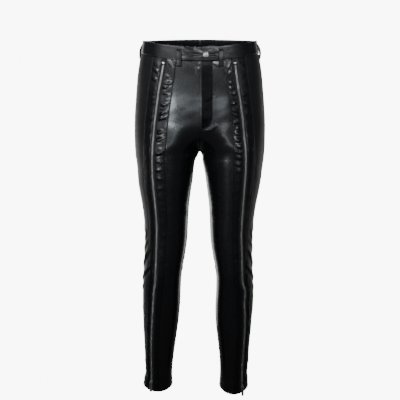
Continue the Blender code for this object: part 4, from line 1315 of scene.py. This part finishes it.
def zip_stop(side, finishes):
    """The crimped metal stop at the zip's top: a bar over both tapes, with a foot on the chain."""
    width, height, depth = STOP_SIZE
    bar = slab([rounded_outline(width / 2, height / 2, -height / 2 + 0.6, 0.9)], -depth / 2, depth / 2)
    foot = slab([rounded_outline(1.9, 0.0, -height / 2 - 0.4, 0.6)], -depth / 2 + 0.3, depth / 2 - 0.3)
    lift = -TAPE_SINK + SEAM_GAP + depth / 2
    frame = zip_frame(side, (ZIP_TOP_Z + CHAIN_TOP_Z) / 2, lift)
    return zip_part("end_stop", side, added(bar, foot), finishes, frame, 0.8, 3)


def slider_frame(side):
    """Axes on the slider: the origin is on its front face, Z points out of the cloth."""
    lift = -TAPE_SINK + SEAM_GAP + CHAIN_WALL + SEAM_GAP + SLIDER_SIZE[2]
    return zip_frame(side, HEM_SIDE_Z[side] + SLIDER_UP[side] - HEM_DIP[side] / 2, lift)


def slider_outline():
    """The slider's plate from above: narrow where the chain leaves it closed, with wide shoulders."""
    half, length = SLIDER_SIZE[0] / 2, SLIDER_SIZE[1] / 2
    upper = ((0.0, length), (1.9, length - 0.1), (3.3, length - 0.9), (3.7, length - 2.6), (3.9, 0.4))
    shoulder = ((4.5, -1.8), (half, -3.6), (half - 0.1, -4.7), (3.9, -5.6))
    right = upper + shoulder + ((2.6, -5.9), (1.1, -5.2), (0.0, -4.6))
    return [*right, *((-x, y) for x, y in right[-2:0:-1])]


def zip_slider(side, finishes):
    """The slider: shaped plate, turned-down lips along both sides, and the bridge for the pull."""
    made = slab([slider_outline()], -SLIDER_PLATE, 0.0)
    for sign in (-1, 1):
        lip = slab([rounded_outline(0.45, 4.2, -3.8, 0.4)], -SLIDER_SIZE[2], -0.5)
        bmesh.ops.translate(lip, verts=lip.verts, vec=Vector((sign * SLIDER_LIP_X * MM, 0, 0)))
        made = added(made, lip)
    reach, corner = BRIDGE_REACH, BRIDGE_CORNER
    spring = BRIDGE_HEIGHT - corner
    route = [(0, -reach, -0.6), (0, -reach, spring)]
    for k in range(1, 6):
        angle = math.radians(180 - 18 * k)
        route.append((0, -reach + corner + corner * math.cos(angle), spring + corner * math.sin(angle)))
    route += [(x, -y, z) for x, y, z in route[::-1]]
    made = added(made, wire(route, BRIDGE_WIRE))
    return zip_part("slider", side, made, finishes, slider_frame(side), 0.22, 2)


def zip_pull(side, finishes):
    """The flat pull tab, with a slot round the slider's bridge."""
    half_bar = PULL_BAR / 2
    outlines = (
        rounded_outline(PULL_WIDTH / 2, half_bar, -PULL_LENGTH, 1.8),
        rounded_outline(PULL_SLOT_HALF, -half_bar, -PULL_SLOT_END, 1.2)[::-1],
    )
    made = slab(outlines, -half_bar, half_bar)
    frame = slider_frame(side) @ Matrix.Translation((0, 0, PULL_AXIS_HEIGHT * MM))
    return zip_part("pull", side, made, finishes, frame, 0.35, 3, f"pull_{SIDE_NAME[side]}")


def front_zip(side, finishes):
    tape, smooth = zip_tape(side, finishes)
    on_tape = [zip_teeth(side, finishes), zip_stop(side, finishes), zip_slider(side, finishes)]
    zip_pull(side, finishes)
    size, area = flat_cut(smooth)


# ---------------------------------------------------------------- waistband, fly and loops
def band_profile():
    """The folded band's section, going round once: share of its height, and depth into the wall."""
    shares = np.linspace(0.035, 0.965, 19)
    outer = [(share, 0.0) for share in shares]
    bottom = [(0.99, 0.12), (1.0, 0.45), (1.0, 0.6), (0.99, 0.9)]
    inner = [(share, 1.0) for share in shares[::-2]]
    top = [(0.008, 0.88), (0.0, 0.6), (0.0, 0.4), (0.008, 0.12)]
    return outer + bottom + inner + top


BandColumn = namedtuple("BandColumn", "side run rise extra ahead")


def band_sheet(columns):
    """Grids of a half band: a row for each place in its profile, a column for each place along it."""
    profile = np.array(band_profile())
    share, depth = profile[:, :1], profile[:, 1:]
    sides, run, rise, extra, ahead = np.array(columns).T
    level = rise * (1 - share) - (BAND_HEIGHT + SEAM_GAP + SEAM_LAP) * share
    points, normals = np.empty((*level.shape, 3)), np.empty((*level.shape, 3))
    for side in (LEFT, RIGHT):
        own = sides == side
        if own.any():
            runs = np.broadcast_to(run[own], level[:, own].shape)
            points[:, own], normals[:, own], _ = on_form(side, level[:, own], runs)
    swell = BAND_SWELL * np.sin(np.pi * share) ** 0.6 * (1 - depth)
    wave = WAVE_HEIGHT * soft_waves(ahead, level, 77) * (1 - depth)
    creases = crease_relief(BAND_CREASES, ahead, level) * (1 - 0.65 * depth)
    lift = BAND_LIFT + extra - depth * BAND_WALL + creases + swell + wave
    return points + normals * lift[..., None], normals, level


def half_band(name, columns, finishes, facing):
    """One half of the waistband as a closed piece, with rounded ends. Returns its unclosed grid."""
    points, normals, levels = band_sheet(columns)
    ends = points.copy()
    for column in (0, -1):
        middle = ends[:, column].mean(axis=0)
        ends[:, column] = middle + (ends[:, column] - middle) * BAND_END
    corner = np.arange(levels.size).reshape(levels.shape)
    faces = quads(np.concatenate([corner, corner[:1]]))[:, ::facing].tolist()
    faces += [corner[::facing, 0].tolist(), corner[::-facing, -1].tolist()]
    run = np.array([column.ahead for column in columns])
    flat = np.stack([np.broadcast_to(run, levels.shape), levels], axis=-1).reshape(-1, 2)
    piece = add_mesh(f"cloth_{name}", ends.reshape(-1, 3), faces, [finishes["band"]], None, flat)
    length = float(steps(points[9]).sum())
    dress(piece, "garment", name, "faux_leather")
    return points, normals


def waistband(finishes):
    """Two half bands, joined at the centre back. The left one laps over the right at the fly."""
    mid = -BAND_HEIGHT / 2
    end = seam_runs(LEFT, mid)["back"]
    over_end = run_at_x(LEFT, mid, OVERLAP_END_X)
    over = [BandColumn(LEFT, run, 0.0, 0.0, run) for run in band_spacing(over_end, end)]
    left = half_band("waistband_left", over, finishes, 1)

    tuck = -(BAND_WALL + 1.5 * SEAM_GAP)
    under_end = -run_at_x(LEFT, mid, UNDERLAP_END_X)
    under = []
    for ahead in band_spacing(under_end, end):
        side = RIGHT if ahead > 0 else LEFT
        stepped = float(ease((TUCK_FROM - ahead) / TUCK_LENGTH))
        rise = UNDERLAP_RISE * float(ease((-ahead - 2.0) / TUCK_LENGTH))
        under.append(BandColumn(side, abs(ahead), rise, tuck * stepped, -ahead))
    right = half_band("waistband_right", under, finishes, -1)
    return {LEFT: left, RIGHT: right}


def band_spacing(start, end):
    """Places along a half band, closer together at the front, where it creases."""
    front = np.arange(start + 1.0, 75.0, 1.8)
    rest = np.linspace(75.0, end - 0.8, 80)
    return [start, start + 0.35, *front, *rest, end - 0.3, end]


def fly(finishes):
    """The fly's flap on the wearer's left front: its opening edge stands proud, its lower end curves."""
    drop = FLY_CURVE_Z - FLY_BOTTOM_Z
    straight = np.arange(-BAND_HEIGHT - 2 * SEAM_GAP, FLY_CURVE_Z, -3.0)
    curved = FLY_CURVE_Z - FLY_END * drop * np.sin(np.radians(np.linspace(0, 90, 22)))
    levels = [float(level) for level in (*straight, *curved)]
    shares = np.concatenate([[0, 0.008, 0.025, 0.055], np.linspace(0.1, 0.9, 14), [0.945, 0.975, 0.992, 1]])

    def runs_at(level):
        down = max(0.0, (FLY_CURVE_Z - level) / drop)
        start = run_at_x(LEFT, level, FLY_X)
        return start + shares * FLY_WIDTH * math.sqrt(1 - down * down)

    smooth = lay_sheet(LEFT, levels, runs_at)
    share = np.broadcast_to(shares, smooth.level.shape)
    slope = FLY_PROUD * (1 - share) ** 1.2 * ease((smooth.level - FLY_BOTTOM_Z) / 40)
    edge = np.minimum(smooth.inset, smooth.far)
    creases = crease_relief(FRONT_CREASES[LEFT], smooth.points[..., 0], smooth.level)
    lift = SEAM_GAP + CLOTH_WALL - 0.5 + slope + seam_roll(edge, 0.7, 1.4) + 0.6 * creases
    lift = lift + FLY_WAVE * soft_waves(smooth.run, smooth.level, 9)
    sheet = raised(smooth, lift + fold_relief(smooth))
    wall = np.full_like(sheet.level, FLY_WALL)
    piece = shell("cloth_fly_placket", sheet, wall, [finishes["fly"], finishes["leather"]])
    dress(piece, "garment", "fly_placket", "faux_leather")
    size, area = flat_cut(smooth)
    return sheet


LoopPlace = namedtuple("LoopPlace", "name side x turn")
LOOPS = rows(
    LoopPlace,
    ("front_right", RIGHT, 55, None),
    ("front_left", LEFT, 56, None),
    ("side_right", RIGHT, None, 4),
    ("side_left", LEFT, None, 4),
    ("back", LEFT, None, None),
)


def loop_sheet(where):
    """A loop's grid: rows down it, columns across it, with its arch over the band."""
    half = np.array([0.12, 0.24, 0.36, 0.44, 0.485, 0.5])
    across = np.concatenate([-half[::-1], [0], half])
    level = np.broadcast_to(np.linspace(-LOOP_TOP, -LOOP_DROP, 46)[:, None], (46, len(across)))
    share = (-LOOP_TOP - level) / (LOOP_DROP - LOOP_TOP)
    base = BAND_LIFT * ease((level + BAND_HEIGHT + LOOP_SETTLE) / LOOP_SETTLE)
    arch = LOOP_ARCH * np.sin(np.pi * share) ** 0.7
    if where.turn:
        arch = arch + LOOP_PROUD[where.side] * np.sin(np.pi * share) ** 0.6
    roll = seam_roll((0.5 - np.abs(across)) * LOOP_WIDTH, 0.6, 1.2) + LOOP_RIDGE * hump(across, 0.22)
    tack = LOOP_TACK * (hump(share - 0.05, 0.03) + hump(share - 0.95, 0.03))
    end = LOOP_TURNED * (1 - np.clip(np.minimum(share, 1 - share) / 0.015, 0, 1))
    lift = base + SEAM_GAP + LOOP_WALL + arch + roll - tack - end
    points, normals = loop_spots(where, level, across * LOOP_WIDTH)
    return points + normals * lift[..., None], normals


def loop_spots(where, level, offset):
    """The form's points and normals under a loop. The back one lies over the centre seam."""
    if where.name == "back":
        end = np.array([[seam_runs(LEFT, at)["back"]] for at in level[:, 0]])
        points, normals = np.empty((*level.shape, 3)), np.empty((*level.shape, 3))
        for side, own in ((LEFT, offset < 0), (RIGHT, offset >= 0)):
            run = end - np.abs(offset[own])
            points[:, own], normals[:, own], _ = on_form(side, level[:, own], run)
        return points, normals
    run_at, place = (run_at_x, where.x) if where.x else (run_at_turn, where.turn)
    middle = np.array([[run_at(where.side, at, place)] for at in level[:, 0]])
    points, normals, _ = on_form(where.side, level, middle + offset)
    return points, normals


def belt_loop(where, finishes):
    """A folded loop, sewn down at both ends. Returns its sheet."""
    points, normals = loop_sheet(where)
    shape = points.shape[:2]
    level = np.broadcast_to(np.linspace(-LOOP_TOP, -LOOP_DROP, shape[0])[:, None], shape)
    run = np.broadcast_to(np.linspace(0, LOOP_WIDTH, shape[1]), shape)
    facing = LEFT if where.name == "back" else where.side
    sheet = Sheet(facing, level, run, run, run, LOOP_WIDTH - run, points, normals, run)
    wall = 1.2 + 1.0 * np.sin(np.pi * (-LOOP_TOP - level) / (LOOP_DROP - LOOP_TOP))
    piece = shell(f"cloth_belt_loop_{where.name}", sheet, wall, [finishes["loop"]] * 2)
    dress(piece, "garment", f"belt_loop_{where.name}", "faux_leather")
    long = float(steps(points[:, 6]).sum())
    return sheet


def button(finishes):
    """A metal shank button: a turned cap with a raised ring and a rounded rim."""
    face = ((0.0, 2.45), (2.2, 2.42), (3.4, 2.25), (4.3, 1.75), (4.8, 1.7), (5.3, 2.2), (5.9, 2.75))
    rim = ((6.6, 2.95), (7.3, 2.75), (7.8, 2.2), (BUTTON_RADIUS, 1.6), (7.8, 0.9))
    under = ((7.0, 0.4), (5.0, 0.25), (0.0, 0.25))
    made = bmesh.new()
    points = [made.verts.new((x * MM, 0, z * MM)) for x, z in face + rim + under]
    edges = [made.edges.new(pair) for pair in zip(points, points[1:])]
    turn = {"cent": (0, 0, 0), "axis": (0, 0, 1), "angle": 2 * math.pi, "steps": 72, "use_merge": True}
    bmesh.ops.spin(made, geom=points + edges, **turn)
    seats = lay_sheet(LEFT, [BUTTON_LEVEL], lambda level: [run_at_x(LEFT, level, BUTTON_X)])
    seat, normal = seats.points[0, 0], seats.normals[0, 0]
    turned = Vector(normal).to_track_quat("Z", "Y").to_matrix().to_4x4()
    place = Matrix.Translation(Vector((seat + normal * (BAND_LIFT + BUTTON_SEAT)) * MM)) @ turned
    piece = finished_mesh("metal_button", made, finishes["button metal"], place)
    return dress(piece, "garment", "button", "button_metal")


# ---------------------------------------------------------------- sewing
def sewn(name, lines, finishes, pitch=STITCH_PITCH, length=STITCH_LENGTH):
    """Stitches along several lines, each given as points and normals."""
    places = joined_places([spaced(points, normals, pitch) for points, normals in lines])
    scale = (THREAD_HALF, length, THREAD_HALF * 0.8)
    piece = repeated(name, stitch_template(), places, finishes["thread"], scale)
    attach(piece, "garment")
    return piece


def hem_line(sheet):
    """The line across a panel at which its hem is sewn."""
    up = sheet.level[:, 0] - HEM_SIDE_Z[sheet.side]
    row = int(np.argmin(np.abs(up - HEM_STITCH_UP)))
    return sheet.points[row], sheet.normals[row]


def panel_stitching(side, sheets, finishes):
    """Rows beside the long seams of the front, along the zip, and round the hem."""
    inner_side, outer_side = ("front_centre", "strip_inner"), ("strip_outer", "front_side")
    lines = [line_of(sheets[name], STITCH_INSET, from_far=True) for name in inner_side]
    lines += [line_of(sheets[name], STITCH_INSET) for name in outer_side]
    lines += [hem_line(sheet) for sheet in sheets.values()]
    sewn(f"stitching_{SIDE_NAME[side]}", lines, finishes)


def band_stitching(bands, finishes):
    """A row along the band's upper and lower edges."""
    lines = []
    for points, normals in bands.values():
        lines += [(points[row][3:-3], normals[row][3:-3]) for row in (1, 17)]
    sewn("stitching_waistband", lines, finishes)


def fly_stitching(sheet, finishes):
    """Two rows down the fly, which curve round its lower end."""
    lines = []
    drop = FLY_CURVE_Z - FLY_BOTTOM_Z
    for inset in FLY_STITCH_INSETS:
        width = FLY_WIDTH - inset
        route = [(level, width) for level in np.arange(-BAND_HEIGHT - 2, FLY_CURVE_Z, -3.0)]
        for angle in np.radians(np.linspace(0, 82, 16)):
            route.append((FLY_CURVE_Z - (drop - inset) * math.sin(angle), width * math.cos(angle)))
        points, normals = [], []
        for level, reach in route:
            row = int(np.argmin(np.abs(sheet.level[:, 0] - level)))
            points.append(between(reach, sheet.inset[row], sheet.points[row]))
            normals.append(between(reach, sheet.inset[row], sheet.normals[row]))
        lines.append((np.array(points), np.array(normals)))
    sewn("stitching_fly", lines, finishes)


def loop_stitching(loops, finishes):
    """Two rows down each loop, and a bar of dense stitches across each end."""
    lines, bars = [], []
    for sheet in loops:
        lines += [(sheet.points[3:-3, column], sheet.normals[3:-3, column]) for column in (2, -3)]
        bars += [(sheet.points[row, 1:-1], sheet.normals[row, 1:-1]) for row in (2, 3, -4, -3)]
    sewn("stitching_loops", lines, finishes)
    sewn("stitching_bars", bars, finishes, pitch=BAR_PITCH, length=BAR_STITCH)


# ---------------------------------------------------------------- light and camera
CAMERA_PLACE = (0.0005, -3.0, -0.10)
CAMERA_PITCH_DOWN = 6.504
CAMERA_LENS = 97.05

AS_A_LIGHT, TO_THE_EYE = 0.05, 9.0  # the surround's two strengths
COOL, PALE, WHITE = (0.88, 0.95, 1.0), (0.95, 0.98, 1.0), (1.0, 1.0, 1.0)

# azimuth is degrees round the trousers from the camera's side, towards +X. aim is the height that the
# lamp faces, and spread its beam in degrees: the narrow beams leave the lower legs dimmer.
Lamp = namedtuple("Lamp", "name azimuth distance height aim size power spread colour")
LAMPS = rows(
    Lamp,
    ("Low left softbox", -34.4, 3.2, -0.41, 0.2, (0.9, 0.42), 1.35, 44, COOL),
    ("Low softbox 1", -17, 3.45, -0.42, 0.2, (1.35, 0.42), 0.37, 44, COOL),
    ("Low softbox 2", 3, 3.45, -0.42, 0.2, (1.35, 0.42), 0.37, 44, COOL),
    ("Low softbox 3", 23, 3.45, -0.43, 0.2, (1.35, 0.42), 0.44, 44, COOL),
    ("Upper softbox", -23, 3.36, 0.2, -0.2, (3.4, 0.56), 4.6, 180, COOL),
    ("High softbox 1", -50, 3.0, 1.25, 0.4, (1.2, 0.32), 2.1, 50, PALE),
    ("High softbox 2", -28, 3.0, 1.25, 0.4, (1.2, 0.32), 2.1, 50, PALE),
    ("High softbox 3", 12, 3.0, 1.25, 0.4, (1.2, 0.32), 2.1, 50, PALE),
    ("High softbox 4", 34, 3.0, 1.25, 0.4, (1.2, 0.32), 2.3, 50, PALE),
    ("Side left softbox", -56, 3.2, 0.1, 0.4, (0.85, 0.9), 0.42, 50, COOL),
    ("Side right softbox", 52, 3.2, 0.1, 0.4, (0.85, 0.9), 0.2, 50, COOL),
    ("Left strip", -97, 2.42, -0.55, -0.45, (0.4, 1.8), 1.5, 180, WHITE),
    ("Right strip", 90, 2.4, -0.5, -0.45, (0.3, 1.8), 0.8, 180, WHITE),
    ("Back left softbox", -143, 3.2, -0.65, -0.45, (2.0, 2.2), 22.0, 180, WHITE),
    ("Back right softbox", 139, 3.2, -0.65, -0.45, (1.3, 2.2), 10.0, 180, WHITE),
    ("Back top softbox", 180, 3.1, 1.25, -0.3, (2.8, 0.7), 42.0, 180, WHITE),
)


def light_scene():
    """Soft lamps round the trousers, and a white surround that is dimmer as a light than to the eye."""
    for lamp in LAMPS:
        data = bpy.data.lights.new(lamp.name, "AREA")
        data.shape = "ELLIPSE"
        data.size, data.size_y = lamp.size
        data.energy = lamp.power
        data.spread = math.radians(lamp.spread)
        data.color = lamp.colour
        angle = math.radians(lamp.azimuth)
        place = Vector((lamp.distance * math.sin(angle), -lamp.distance * math.cos(angle), lamp.height))
        holder = add_object(lamp.name, data)
        holder.location = place
        holder.rotation_euler = (Vector((0, 0, lamp.aim)) - place).to_track_quat("-Z", "Y").to_euler()
    world = bpy.data.worlds.new("White surround")
    bpy.context.scene.world = world
    world.use_nodes = True
    nodes = Nodes(world.node_tree)
    back = world.node_tree.nodes["Background"]
    back.inputs["Color"].default_value = (1, 1, 1, 1)
    seen = nodes.add("ShaderNodeLightPath").outputs["Is Camera Ray"]
    nodes.feed(back.inputs["Strength"], nodes.mix("FLOAT", seen, AS_A_LIGHT, TO_THE_EYE))


def set_camera():
    """The view that the photo is taken from."""
    data = bpy.data.cameras.new("Camera")
    data.lens = CAMERA_LENS
    data.sensor_width = 36.0
    camera = add_object("Camera", data)
    camera.location = CAMERA_PLACE
    camera.rotation_euler = (math.radians(90 - CAMERA_PITCH_DOWN), 0, 0)
    bpy.context.scene.camera = camera


def main():
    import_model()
    finishes = make_finishes()
    for side in (LEFT, RIGHT):
        sheets = leg_panels(side, finishes)
        front_zip(side, finishes)
        panel_stitching(side, sheets, finishes)
    bands = waistband(finishes)
    band_stitching(bands, finishes)
    fly_stitching(fly(finishes), finishes)
    loop_stitching([belt_loop(where, finishes) for where in LOOPS], finishes)
    button(finishes)
    light_scene()
    set_camera()
    bpy.context.view_layer.update()


main()
